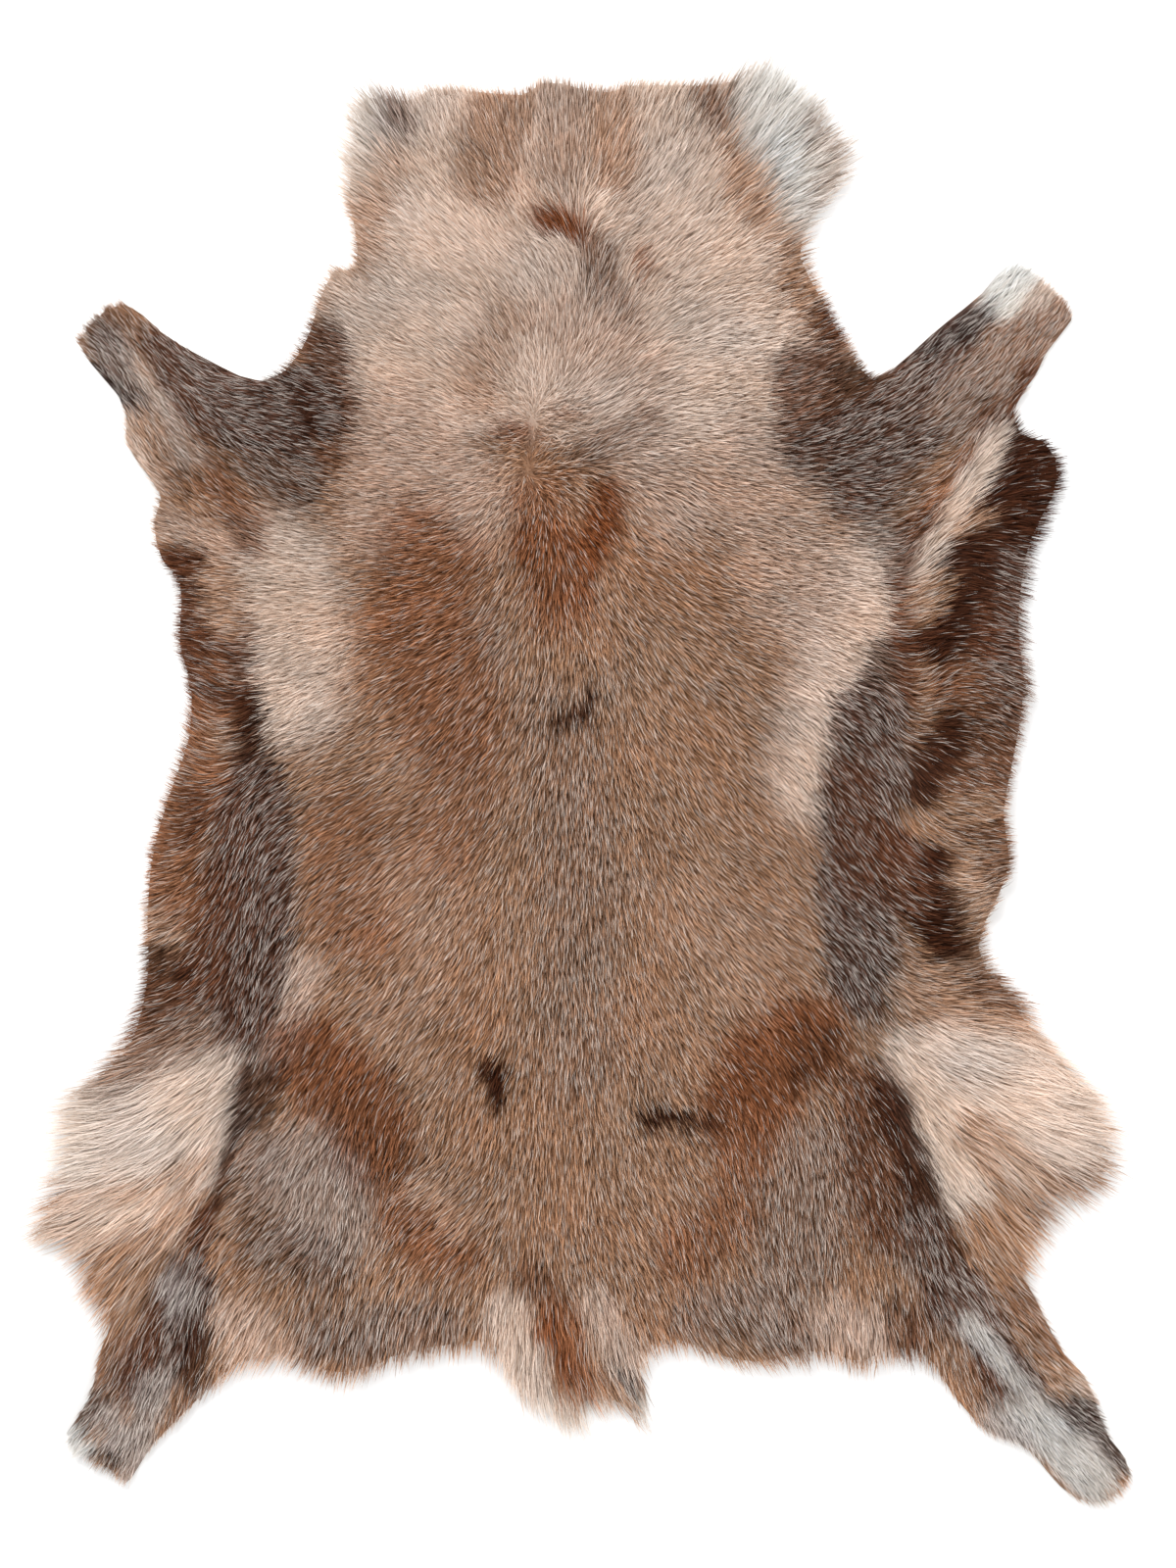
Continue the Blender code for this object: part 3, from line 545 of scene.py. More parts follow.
BACK = Pile("back", 0, 0, 0, 23, 0.05, 0.06)
PILES = (
    Pile("neck_left_corner", -210, 600, 40, 40, 0.40, 1.0),
    Pile("neck_right_corner", 222, 572, 54, 38, 0.40, 0.7),
    Pile("neck_right_peak", 170, 640, 30, 38, 0.40, 0.7),
    Pile("neck_top_left", -100, 630, 45, 22, 0.10, 0.0),
    Pile("neck_top", 20, 635, 50, 24, 0.15, 0.0),
    Pile("neck_top_right", 90, 640, 25, 24, 0.15, 0.0),
    Pile("neck_curl", -5, 515, 22, 30, 0.50, 0.0, 0.35),
    Pile("withers", -42, 338, 26, 17, 0.10, 0.0, 0.7),
    Pile("withers_low", -48, 282, 24, 17, 0.10, 0.0, 0.7),
    Pile("hem_left", -190, -530, 60, 28, 0.20, 0.35),
    Pile("hem_left_corner", -290, -530, 40, 32, 0.30, 0.7),
    Pile("hem_right", 150, -530, 60, 28, 0.20, 0.35),
    Pile("hem_right_corner", 270, -525, 35, 30, 0.30, 0.6),
    Pile("foreleg_left", -425, 395, 50, 13, 0.15),
    Pile("foreleg_left_knee", -370, 350, 45, 17, 0.15),
    Pile("arm_left", -310, 340, 40, 20, 0.15),
    Pile("elbow_left", -370, 260, 35, 18, 0.30),
    Pile("foreleg_right", 410, 430, 50, 13, 0.15),
    Pile("foreleg_right_knee", 350, 375, 45, 17, 0.15),
    Pile("arm_right", 290, 330, 40, 20, 0.15),
    Pile("roll_right", 350, 265, 28, 26, 0.45),
    Pile("flap_right", 404, 170, 58, 22, 0.22, 0.55),
    Pile("flap_right_low", 375, 20, 45, 20, 0.25),
    Pile("flap_right_hem", 360, -90, 35, 20, 0.25),
    Pile("strip_left", -370, 120, 40, 20, 0.22),
    Pile("strip_left_low", -380, -60, 45, 20, 0.25),
    Pile("groin_left_top", -400, -270, 35, 38, 0.25, 1.0),
    Pile("groin_left", -430, -340, 50, 50, 0.32, 1.0),
    Pile("groin_left_low", -440, -410, 40, 44, 0.32, 0.95),
    Pile("groin_left_end", -430, -470, 30, 36, 0.30, 1.0),
    Pile("groin_right_top", 400, -230, 40, 38, 0.25, 1.0),
    Pile("groin_right", 420, -300, 50, 46, 0.32, 1.0),
    Pile("groin_right_low", 420, -370, 40, 50, 0.32, 1.0),
    Pile("hind_leg_left", -430, -600, 50, 15, 0.15),
    Pile("hock_left", -385, -540, 40, 20, 0.18),
    Pile("hind_leg_right", 455, -610, 55, 15, 0.15),
    Pile("hock_right", 390, -540, 40, 19, 0.18),
    Pile("tail", 0, -550, 45, 38, 0.50, 0.75),
    Pile("tail_left", -60, -540, 30, 40, 0.55, 1.0),
)


# ---------------------------------------------------------------------------- helpers


def path_distance(places: np.ndarray, path: Sequence[Point]) -> np.ndarray:
    """How far each place lies from a path.

    Args:
        places: Across and along, one row each.
        path: The path's corners, or a single point.

    Returns:
        One distance for each place.
    """
    corners = np.asarray(path, float)
    if len(corners) == 1:
        return np.linalg.norm(places - corners[0], axis=1)
    nearest = np.full(len(places), np.inf)
    for start, end in zip(corners, corners[1:]):
        step = end - start
        share = ((places - start) @ step / (step @ step)).clip(0.0, 1.0)
        nearest = np.minimum(nearest, np.linalg.norm(places - start - share[:, None] * step, axis=1))
    return nearest


def drift(places: np.ndarray, scale: float, seed: float) -> np.ndarray:
    """Smooth noise across the hide.

    Args:
        places: Across and along, one row each.
        scale: The size of its waves, in the places' unit.
        seed: A height at which the noise is cut.

    Returns:
        Three numbers of about -1 to 1 for each place.
    """
    return np.array([noise.noise_vector((x / scale, y / scale, seed)) for x, y in places])


def smooth_step(values: np.ndarray) -> np.ndarray:
    """Eases from 0 to 1 as the values go from 0 to 1."""
    held = values.clip(0.0, 1.0)
    return held * held * (3.0 - 2.0 * held)


def store(mesh: bpy.types.Mesh, name: str, kind: str, values: np.ndarray) -> None:
    """Keeps one value for each vertex of a mesh as a named attribute."""
    field = {"FLOAT": "value", "FLOAT_VECTOR": "vector", "FLOAT_COLOR": "color"}[kind]
    attribute = mesh.attributes.new(name, kind, "POINT")
    attribute.data.foreach_set(field, np.ascontiguousarray(values, np.float32).ravel())


def link(name: str, mesh: bpy.types.Mesh) -> bpy.types.Object:
    """Puts a mesh into the scene as an object at the origin."""
    obj = bpy.data.objects.new(name, mesh)
    bpy.context.scene.collection.objects.link(obj)
    return obj


# ---------------------------------------------------------------------------- node trees


class NodeTree:
    """Builds a shader's or a geometry's nodes."""

    def __init__(self, tree: bpy.types.NodeTree) -> None:
        """Keeps the tree that the nodes go into."""
        self.tree = tree

    def add(
        self,
        kind: str,
        settings: Mapping[str, Any] | None = None,
        inputs: Mapping[str | int, Any] | None = None,
    ) -> bpy.types.Node:
        """Adds a node.

        Args:
            kind: The node's type.
            settings: Its properties, which are set before its sockets.
            inputs: A value or a link for each socket, by name or by place.

        Returns:
            The node.
        """
        node = self.tree.nodes.new(kind)
        for name, value in (settings or {}).items():
            setattr(node, name, value)
        for key, value in (inputs or {}).items():
            socket = self._socket(node.inputs, key)
            if isinstance(value, Field):
                value = value.socket
            if isinstance(value, bpy.types.NodeSocket):
                self.tree.links.new(value, socket)
            else:
                socket.default_value = value
        return node

    def out(self, node: bpy.types.Node, key: str | int = 0) -> Field:
        """A node's output, ready for Python's operators."""
        return Field(self, self._socket(node.outputs, key))

    def value(
        self,
        kind: str,
        settings: Mapping[str, Any] | None = None,
        inputs: Mapping[str | int, Any] | None = None,
        key: str | int = 0,
    ) -> Field:
        """Adds a node and returns one of its outputs. The arguments are those of add and out."""
        return self.out(self.add(kind, settings, inputs), key)

    @staticmethod
    def _socket(sockets: Any, key: str | int) -> bpy.types.NodeSocket:
        """The socket of that name or place among those in use."""
        live = [socket for socket in sockets if socket.enabled]
        if isinstance(key, int):
            return live[key]
        return next(socket for socket in live if socket.name == key)


class Field:
    """A socket on which Python's operators add Math or Vector Math nodes."""

    def __init__(self, nodes: NodeTree, socket: bpy.types.NodeSocket) -> None:
        """Keeps the socket and the builder that adds to its tree."""
        self.nodes = nodes
        self.socket = socket

    @property
    def is_vector(self) -> bool:
        """Whether the socket holds a vector rather than a number."""
        return self.socket.type in ("VECTOR", "RGBA")

    def math(self, operation: str, *others: Any) -> Field:
        """One Math node, or one Vector Math node where this is a vector."""
        kind = "ShaderNodeVectorMath" if self.is_vector else "ShaderNodeMath"
        values = dict(enumerate((self, *others)))
        return self.nodes.value(kind, {"operation": operation}, values)

    def scaled(self, factor: Any) -> Field:
        """This vector times a number."""
        return self.nodes.value(
            "ShaderNodeVectorMath", {"operation": "SCALE"}, {"Vector": self, "Scale": factor}
        )

    def __add__(self, other: Any) -> Field:
        return self.math("ADD", other)

    def __radd__(self, other: Any) -> Field:
        return self.math("ADD", other)

    def __sub__(self, other: Any) -> Field:
        return self.math("SUBTRACT", other)

    def __rsub__(self, other: Any) -> Field:
        return (self * -1.0) + other

    def __mul__(self, other: Any) -> Field:
        if self.is_vector and not (isinstance(other, Field) and other.is_vector):
            return self.scaled(other)
        return self.math("MULTIPLY", other)

    def __rmul__(self, other: Any) -> Field:
        return self * other

    def __truediv__(self, other: Any) -> Field:
        return self.math("DIVIDE", other)

    def __pow__(self, other: Any) -> Field:
        return self.math("POWER", other)

    def __gt__(self, other: Any) -> Field:
        return self.math("GREATER_THAN", other)


# ---------------------------------------------------------------------------- the CAD solid


class Solid:
    """The hide's CAD solid: its outline, the skin's height and the pile's."""

    SKIN = 2.0 * MM

    def __init__(self, node: bpy.types.Object) -> None:
        """Reads the solid.

        Args:
            node: The CAD node, whose mesh is copied and left alone.
        """
        self.mesh = bmesh.new()
        self.mesh.from_mesh(node.data)
        bmesh.ops.remove_doubles(self.mesh, verts=self.mesh.verts[:], dist=0.02 * MM)
        self.mesh.normal_update()
        self.tree = BVHTree.FromBMesh(self.mesh)

    @cached_property
    def outline(self) -> np.ndarray:
        """The solid's rim, anticlockwise, as across and along in millimetres."""
        ahead = {}
        for face in self.mesh.faces:
            if face.normal.z > -0.5:
                continue
            for loop in face.loops:
                other = [f for f in loop.edge.link_faces if f is not face]
                if other and abs(other[0].normal.z) < 0.2:
                    ahead[loop.vert.index] = loop.link_loop_next.vert.index
        self.mesh.verts.ensure_lookup_table()
        first = here = min(ahead)
        ring = []
        while True:
            ring.append(self.mesh.verts[here].co.xy)
            here = ahead[here]
            if here == first:
                break
        points = np.array(ring) / MM
        following = np.roll(points, -1, axis=0)
        turn = (points[:, 0] * following[:, 1] - points[:, 1] * following[:, 0]).sum()
        return points if turn > 0 else points[::-1]

    def heights(self, places: np.ndarray) -> tuple[np.ndarray, np.ndarray]:
        """The solid's lower and upper surface at each place.

        Args:
            places: Across and along in millimetres.

        Returns:
            Both heights in metres.
        """
        far = 1.0
        found = []
        for start, heading in ((-far, 1.0), (far, -1.0)):
            heights = []
            for x, y in places * MM:
                spot = self.tree.ray_cast(Vector((x, y, start)), Vector((0, 0, heading)))[0]
                if spot is None:
                    spot = self.tree.find_nearest(Vector((x, y, 0.0)))[0]
                heights.append(spot.z)
            found.append(np.array(heights))
        return found[0], found[1]


class Outline:
    """A closed outline in millimetres, anticlockwise."""

    def __init__(self, points: np.ndarray) -> None:
        """Keeps the points, one row each."""
        self.points = points

    @property
    def area(self) -> float:
        """The area inside, in square millimetres."""
        x, y = self.points.T
        return float((x * np.roll(y, -1) - y * np.roll(x, -1)).sum() / 2.0)

    @property
    def outward(self) -> np.ndarray:
        """The direction out of the outline at each point."""
        tangent = np.roll(self.points, -1, axis=0) - np.roll(self.points, 1, axis=0)
        normal = np.stack([tangent[:, 1], -tangent[:, 0]], axis=1)
        return normal / np.linalg.norm(normal, axis=1)[:, None]

    def distance(self, places: np.ndarray) -> np.ndarray:
        """How far each place lies from the outline."""
        return path_distance(places, np.vstack([self.points, self.points[:1]]))

    def holds(self, places: np.ndarray) -> np.ndarray:
        """Which places lie inside, by how often a ray to +X crosses the outline."""
        inside = np.zeros(len(places), bool)
        x, y = places.T
        for a, b in zip(self.points, np.roll(self.points, -1, axis=0)):
            if a[1] == b[1]:
                continue
            spans = (a[1] > y) != (b[1] > y)
            inside ^= spans & (x < a[0] + (y - a[1]) / (b[1] - a[1]) * (b[0] - a[0]))
        return inside

    def resampled(self, step: float) -> Outline:
        """The same outline with points at about this spacing."""
        closed = np.vstack([self.points, self.points[:1]])
        along = np.concatenate([[0.0], np.cumsum(np.linalg.norm(np.diff(closed, axis=0), axis=1))])
        steps = np.linspace(0.0, along[-1], int(along[-1] / step), endpoint=False)
        return Outline(np.stack([np.interp(steps, along, closed[:, k]) for k in (0, 1)], axis=1))

    def drawn_in(self, insets: np.ndarray) -> Outline:
        """A smaller outline, each point moved in by its own inset."""
        moved = self.points - self.outward * insets[:, None]
        kept = self.holds(moved) & (self.distance(moved) > 0.85 * insets)
        return Outline(moved[kept])


# ---------------------------------------------------------------------------- the coat


@dataclass(frozen=True)
class Coat:
    """How the hair lies, how long it is and what colour it has, from the tables."""

    solid: Solid
    ragged: float = 6.5  # how far patches stray, in millimetres
    stray: float = 0.16  # how far the hair strays from its combing

    def headings(self, places: np.ndarray) -> np.ndarray:
        """The way the hair lies at each place, as unit vectors across and along."""
        places = places - ZERO
        total = np.zeros_like(places)
        for combing in COMBINGS:
            for across, along, heading in combing.strokes:
                gap = np.linalg.norm(places - (across, along), axis=1)
                weight = np.exp(-((gap / combing.reach) ** 2)) + 1e-4 * np.exp(-gap / 60.0)
                angle = math.radians(heading)
                total += weight[:, None] * (math.cos(angle), math.sin(angle))
        total /= np.linalg.norm(total, axis=1)[:, None]
        total += self.stray * drift(places, 38.0, 3.1)[:, :2]
        total += 1.1 * self.stray * drift(places, 12.0, 7.7)[:, :2]
        return total / np.linalg.norm(total, axis=1)[:, None]

    def piles(self, places: np.ndarray) -> np.ndarray:
        """The length in millimetres, grip, looseness and tousle of the hair at the places, as rows."""
        places = places - ZERO
        total = np.tile(np.array(BACK[4:])[:, None], len(places))
        weight = np.ones(len(places))
        for pile in PILES:
            gap = np.linalg.norm(places - (pile.across, pile.along), axis=1)
            near = 8.0 * np.exp(-((gap / pile.reach) ** 2))
            total += near * np.array(pile[4:])[:, None]
            weight += near
        return total / weight

    def colours(self, places: np.ndarray) -> tuple[np.ndarray, np.ndarray]:
        """The coat's colour as linear light, with painted shade in creases, hollows and under folds, and its
        share of pale tips, at each place.
        """
        places = places - ZERO
        strayed = places + self.ragged * drift(places, 22.0, 1.3)[:, :2]
        strayed = strayed + 0.5 * self.ragged * drift(places, 7.0, 5.9)[:, :2]
        shade = np.tile(Hair.TAN.shade, (len(places), 1))
        frost = np.full(len(places), Hair.TAN.frost)
        for patch in PATCHES:
            gap = path_distance(strayed, patch.path)
            share = patch.strength * (1.0 - smooth_step((gap - patch.reach) / patch.fade))
            shade += share[:, None] * (patch.hair.shade - shade)
            frost += share * (patch.hair.frost - frost)
        mottle = 0.16 * drift(places, 34.0, 11.7)[:, :1] + 0.15 * drift(places, 11.0, 14.3)[:, :1]
        warmth = 0.07 * drift(places, 55.0, 17.9)[:, :1] * (1.0, 0.0, -1.0)
        return shade * np.exp(mottle + warmth), frost


# ---------------------------------------------------------------------------- finishes


def new_material(name: str) -> tuple[bpy.types.Material, NodeTree, bpy.types.Node]:
    """An empty material, its node builder and its Principled shader."""
    material = bpy.data.materials.new(name)
    material.use_nodes = True
    return material, NodeTree(material.node_tree), material.node_tree.nodes["Principled BSDF"]


@dataclass(frozen=True)
class HairFinish:
    """Hair with painted shade that darkens it towards its root, that differs from strand to strand and has
    some pale tips.
    """

    name: str = "reindeer_hair"
    # painted shade deep in the coat: the share of brightness left at the root
    root: float = 0.38
    root_shade_calm: float = 0.40  # how much less painted root shade the root of pale hair gets
    steep: float = 1.3  # how fast the painted root shade fades from the root up the strand
    gain: float = 1.20
    spread: float = 1.75
    calm: float = 1.95  # how much less pale hair differs from strand to strand
    lock_spread: float = 0.12
    hue: tuple[float, float, float] = (0.92, 1.00, 1.10)  # darker is warmer, lighter is cooler, painting warm light bounced among the hair into the coat's shade
    pale: tuple[float, float, float] = (0.74, 0.67, 0.61)
    pale_strength: float = 0.68
    roughness: float = 0.60

    def material(self) -> bpy.types.Material:
        """Builds the material."""
        material, nodes, shader = new_material(self.name)
        tint = nodes.value("ShaderNodeAttribute", {"attribute_name": "tint"}, key="Color")
        along, luck, lot, frost = (
            nodes.value("ShaderNodeAttribute", {"attribute_name": name}, key="Fac")
            for name in ("reach", "luck", "lot", "frost")
        )
        paleness = tint.math("DOT_PRODUCT", (0.3, 0.6, 0.1))
        root = paleness * self.root_shade_calm + self.root
        # painted shade: each strand darkens towards its root, deep in the coat
        root_shade_ramp = (along * self.steep).math("MINIMUM", 1.0) * (1.0 - root) + root
        strand = (luck - 0.5) * (self.spread - paleness * self.calm) + 1.0
        lock = lot * self.lock_spread + (1.0 - self.lock_spread / 2.0)
        parts = dict(zip("XYZ", self.hue))
        hue = nodes.value("ShaderNodeCombineXYZ", inputs=parts)
        shade = (hue * (root_shade_ramp * strand * lock - 1.0) + (1.0, 1.0, 1.0)) * self.gain
        chance = (luck * 7.31).math("FRACT")
        tip = nodes.value(
            "ShaderNodeMapRange",
            {"interpolation_type": "SMOOTHSTEP"},
            {"Value": along, "From Min": 0.10, "From Max": 0.9},
        )
        share = (frost > chance) * tip * self.pale_strength
        colour = nodes.value(
            "ShaderNodeMix",
            {"data_type": "RGBA"},
            {"Factor": share, "A": tint * shade, "B": (*self.pale, 1.0)},
            key="Result",
        )
        nodes.tree.links.new(colour.socket, shader.inputs["Base Color"])
        shader.inputs["Roughness"].default_value = self.roughness
        shader.inputs["Specular IOR Level"].default_value = 0.12
        return material


@dataclass(frozen=True)
class RootFinish:
    """The hair side of the skin: short dark underhair seen between the strands, partly its own colour and
    partly painted shade.
    """

    name: str = "skin_hair_side"
    # the darkest share of the tint, partly underhair colour and partly painted shade between the strands
    least: float = 0.35
    paler: float = 0.35  # how much lighter it is under pale hair

    def material(self) -> bpy.types.Material:
        """Builds the material."""
        material, nodes, shader = new_material(self.name)
        tint = nodes.value("ShaderNodeAttribute", {"attribute_name": "tint"}, key="Color")
        place = nodes.value("ShaderNodeTexCoord", key="Object")
        grain = nodes.value(
            "ShaderNodeTexNoise", inputs={"Vector": place, "Scale": 900.0, "Detail": 3.0}
        )
        paleness = tint.math("DOT_PRODUCT", (0.3, 0.6, 0.1))
        # the tint darkened, partly as underhair colour and partly as painted shade between the strands
        colour = tint * (grain * 0.5 + paleness * self.paler + self.least)
        nodes.tree.links.new(colour.socket, shader.inputs["Base Color"])
        bump = nodes.add("ShaderNodeBump", inputs={"Strength": 0.6, "Distance": 0.001, "Height": grain})
        nodes.tree.links.new(bump.outputs["Normal"], shader.inputs["Normal"])
        shader.inputs["Roughness"].default_value = 0.9
        return material


@dataclass(frozen=True)
class SuedeFinish:
    """The flesh side of the skin: pale suede with a soft nap and faint veins."""

    name: str = "skin_flesh_side"
    pale: tuple[float, float, float, float] = (0.66, 0.56, 0.44, 1.0)
    dark: tuple[float, float, float, float] = (0.46, 0.36, 0.26, 1.0)

    def material(self) -> bpy.types.Material:
        """Builds the material."""
        material, nodes, shader = new_material(self.name)
        place = nodes.value("ShaderNodeTexCoord", key="Object")
        cloud, nap = (
            nodes.value(
                "ShaderNodeTexNoise", inputs={"Vector": place, "Scale": scale, "Detail": detail}
            )
            for scale, detail in ((9.0, 5.0), (700.0, 3.0))
        )
        mottle = cloud * 0.7 + nap * 0.3
        colour = nodes.value(
            "ShaderNodeMix",
            {"data_type": "RGBA"},
            {"Factor": mottle, "A": self.dark, "B": self.pale},
            key="Result",
        )
        nodes.tree.links.new(colour.socket, shader.inputs["Base Color"])
        nodes.tree.links.new((0.95 - cloud * 0.2).socket, shader.inputs["Roughness"])
        bump = nodes.add("ShaderNodeBump", inputs={"Strength": 0.5, "Distance": 0.0006, "Height": nap})
        nodes.tree.links.new(bump.outputs["Normal"], shader.inputs["Normal"])
        return material


# ---------------------------------------------------------------------------- the skin


@dataclass
class SkinSheet:
    """The tanned skin: a thin closed sheet, drawn in from the solid's rim by the hair's overhang."""

    solid: Solid
    coat: Coat
    edge_step: float = 7.0
    grid_step: float = 10.0
    least_inset: float = 0.8
    overhang: float = 0.58  # share of loose hair that reaches past the skin's edge

    @cached_property
    def outline(self) -> Outline:
        """The skin's own edge."""
        rim = Outline(self.solid.outline).resampled(self.edge_step)
        length, _, loose, _ = self.coat.piles(rim.points)
        outwards = (self.coat.headings(rim.points) * rim.outward).sum(axis=1).clip(0.0)
        insets = self.least_inset + (0.12 + self.overhang * loose) * length * outwards
        kernel = np.hanning(9)[1:-1]
        padded = np.concatenate([insets[-3:], insets, insets[:3]])
        return rim.drawn_in(np.convolve(padded, kernel / kernel.sum(), "valid"))

    def grid(self, step: float) -> np.ndarray:
        """Staggered places inside the outline."""
        low, high = self.outline.points.min(axis=0), self.outline.points.max(axis=0)
        rows = np.arange(low[1], high[1], step * 3**0.5 / 2)
        across = np.arange(low[0], high[0], step)
        places = np.concatenate([
            np.stack([across + step / 2 * (i % 2), np.full(len(across), y)], axis=1)
            for i, y in enumerate(rows)
        ])
        return places[self.outline.holds(places)]

    def build(self) -> bpy.types.Object:
        """Builds the skin.

        Returns:
            The closed sheet, its hair side and its flesh side in their own finishes.
        """
        inner = self.grid(self.grid_step)
        inner = inner[self.outline.distance(inner) > 0.55 * self.grid_step]
        cut = np.vstack([self.outline.points, inner])
        loop = list(range(len(self.outline.points)))
        flat, _, faces, *_ = delaunay_2d_cdt([Vector(p) for p in cut], [], [loop], 1, 1e-3)
        places = np.array(flat)
        low = self.solid.heights(places)[0]
        mesh = bmesh.new()
        upper, lower = (
            [mesh.verts.new((*(place * MM), z)) for place, z in zip(places, low + lift)]
            for lift in (self.solid.SKIN, 0.0)
        )
        for face in faces:
            mesh.faces.new([upper[i] for i in face])
            mesh.faces.new([lower[i] for i in reversed(face)]).material_index = 1
        count = len(places)
        mesh.verts.index_update()
        rim = [
            tuple(v.index for v in e.verts)
            for e in mesh.edges
            if len(e.link_faces) == 1 and e.verts[0].index < count
        ]
        for a, b in rim:
            wall = mesh.faces.new([upper[a], upper[b], lower[b], lower[a]])
            wall.material_index = 1
        bmesh.ops.recalc_face_normals(mesh, faces=mesh.faces[:])
        for face in mesh.faces:
            face.smooth = True
        data = bpy.data.meshes.new("hide_skin")
        mesh.to_mesh(data)
        mesh.free()
        shade = self.coat.colours(np.array([v.co.xy for v in data.vertices]) / MM)[0]
        store(data, "tint", "FLOAT_COLOR", np.hstack([shade, np.ones((len(shade), 1))]))
        data.materials.append(RootFinish().material())
        data.materials.append(SuedeFinish().material())
        return link("hide_skin", data)


# ---------------------------------------------------------------------------- the hair


@dataclass
class HairBed:
    """The surface that the hair grows on, with how it lies kept at each of its corners."""

    sheet: SkinSheet
    step: float = 5.0
    fringe: float = 0.5

    def room(self, places: np.ndarray, heading: np.ndarray) -> np.ndarray:
        """How far it is from each place to the solid's rim, the way that the hair lies.

        Args:
            places: Across and along in millimetres.
            heading: The way that the hair lies at each.

        Returns:
            The distances in millimetres, and a large one well inside the rim.
        """
        rim = Outline(self.sheet.solid.outline)
        room = np.full(len(places), 90.0)
        near = rim.distance(places) < 60.0
        for step in range(60, 0, -3):
            outside = ~rim.holds(places[near] + heading[near] * step)
            room[near] = np.where(outside, step, room[near])
        return room

    def build(self) -> bpy.types.Object:
        """Builds the bed, which is removed again once the hair has grown."""
        solid, coat = self.sheet.solid, self.sheet.coat
        places = self.sheet.grid(self.step)
        low, high = solid.heights(places)
        heading = coat.headings(places)
        length, grip, loose, tousle = coat.piles(places)
        rise = ((high - low) / MM - 3.0).clip(2.0, 0.82 * length)
        run = np.sqrt((length * 1.02) ** 2 - rise**2)
        run = np.minimum(run, self.room(places, heading) + self.fringe + loose * length)
        shade, frost = coat.colours(places + heading * run[:, None] * 0.6)
        lookup = {}
        columns = np.round(places[:, 0] / (self.step / 2)).astype(int)
        rows = np.round((places[:, 1] - places[:, 1].min()) / (self.step * 3**0.5 / 2)).astype(int)
        base = columns.min()
        for index, key in enumerate(zip(columns - base, rows)):
            lookup[key] = index
        faces = []
        for (column, row), index in lookup.items():
            right = lookup.get((column + 2, row))
            above = lookup.get((column + 1, row + 1))
            left = lookup.get((column - 1, row + 1))
            if above is not None and right is not None:
                faces.append((index, right, above))
            if above is not None and left is not None:
                faces.append((index, above, left))
        mesh = bpy.data.meshes.new("hair_bed")
        mesh.from_pydata(
            [(x * MM, y * MM, z + solid.SKIN) for (x, y), z in zip(places, low)], [], faces
        )
        flat = np.zeros((len(places), 1))
        store(mesh, "heading", "FLOAT_VECTOR", np.hstack([heading, flat]))
        store(mesh, "run", "FLOAT", run * MM)
        store(mesh, "rise", "FLOAT", rise * MM)
        store(mesh, "grip", "FLOAT", grip)
        store(mesh, "tousle", "FLOAT", tousle)
        store(mesh, "frost", "FLOAT", frost)
        store(mesh, "thick", "FLOAT", (26.0 / length).clip(0.8, 2.0))
        store(mesh, "tint", "FLOAT_COLOR", np.hstack([shade, flat + 1.0]))
        return link("hair_bed", mesh)

    @staticmethod
    def thickness(bed: bpy.types.Object) -> float:
        """The bed's area in square metres, each face counted as thick as its hair."""
        mesh = bed.data
        thick = np.zeros(len(mesh.vertices), np.float32)
        mesh.attributes["thick"].data.foreach_get("value", thick)
        return sum(face.area * thick[list(face.vertices)].mean() for face in mesh.polygons)


class Blade(Enum):
    """How a strand is cut into faces: the number of its lengths."""

    SHORT = 2
    LONG = 3

    def build(self) -> bpy.types.Object:
        """A template whose corners say only how far up the strand and to which side they are."""
        lengths = self.value
        reach = [level / lengths for level in range(lengths) for _ in (0, 1)] + [1.0]
        side = [s for _ in range(lengths) for s in (-0.5, 0.5)] + [0.0]
        faces = [(2 * k, 2 * k + 1, 2 * k + 3, 2 * k + 2) for k in range(lengths - 1)]
        faces.append((2 * lengths - 2, 2 * lengths - 1, 2 * lengths))
        mesh = bpy.data.meshes.new("blade")
        mesh.from_pydata([(s * MM, r * MM, 0.0) for s, r in zip(side, reach)], [], faces)
        store(mesh, "reach", "FLOAT", np.array(reach))
        store(mesh, "side", "FLOAT", np.array(side))
        return link("blade", mesh)


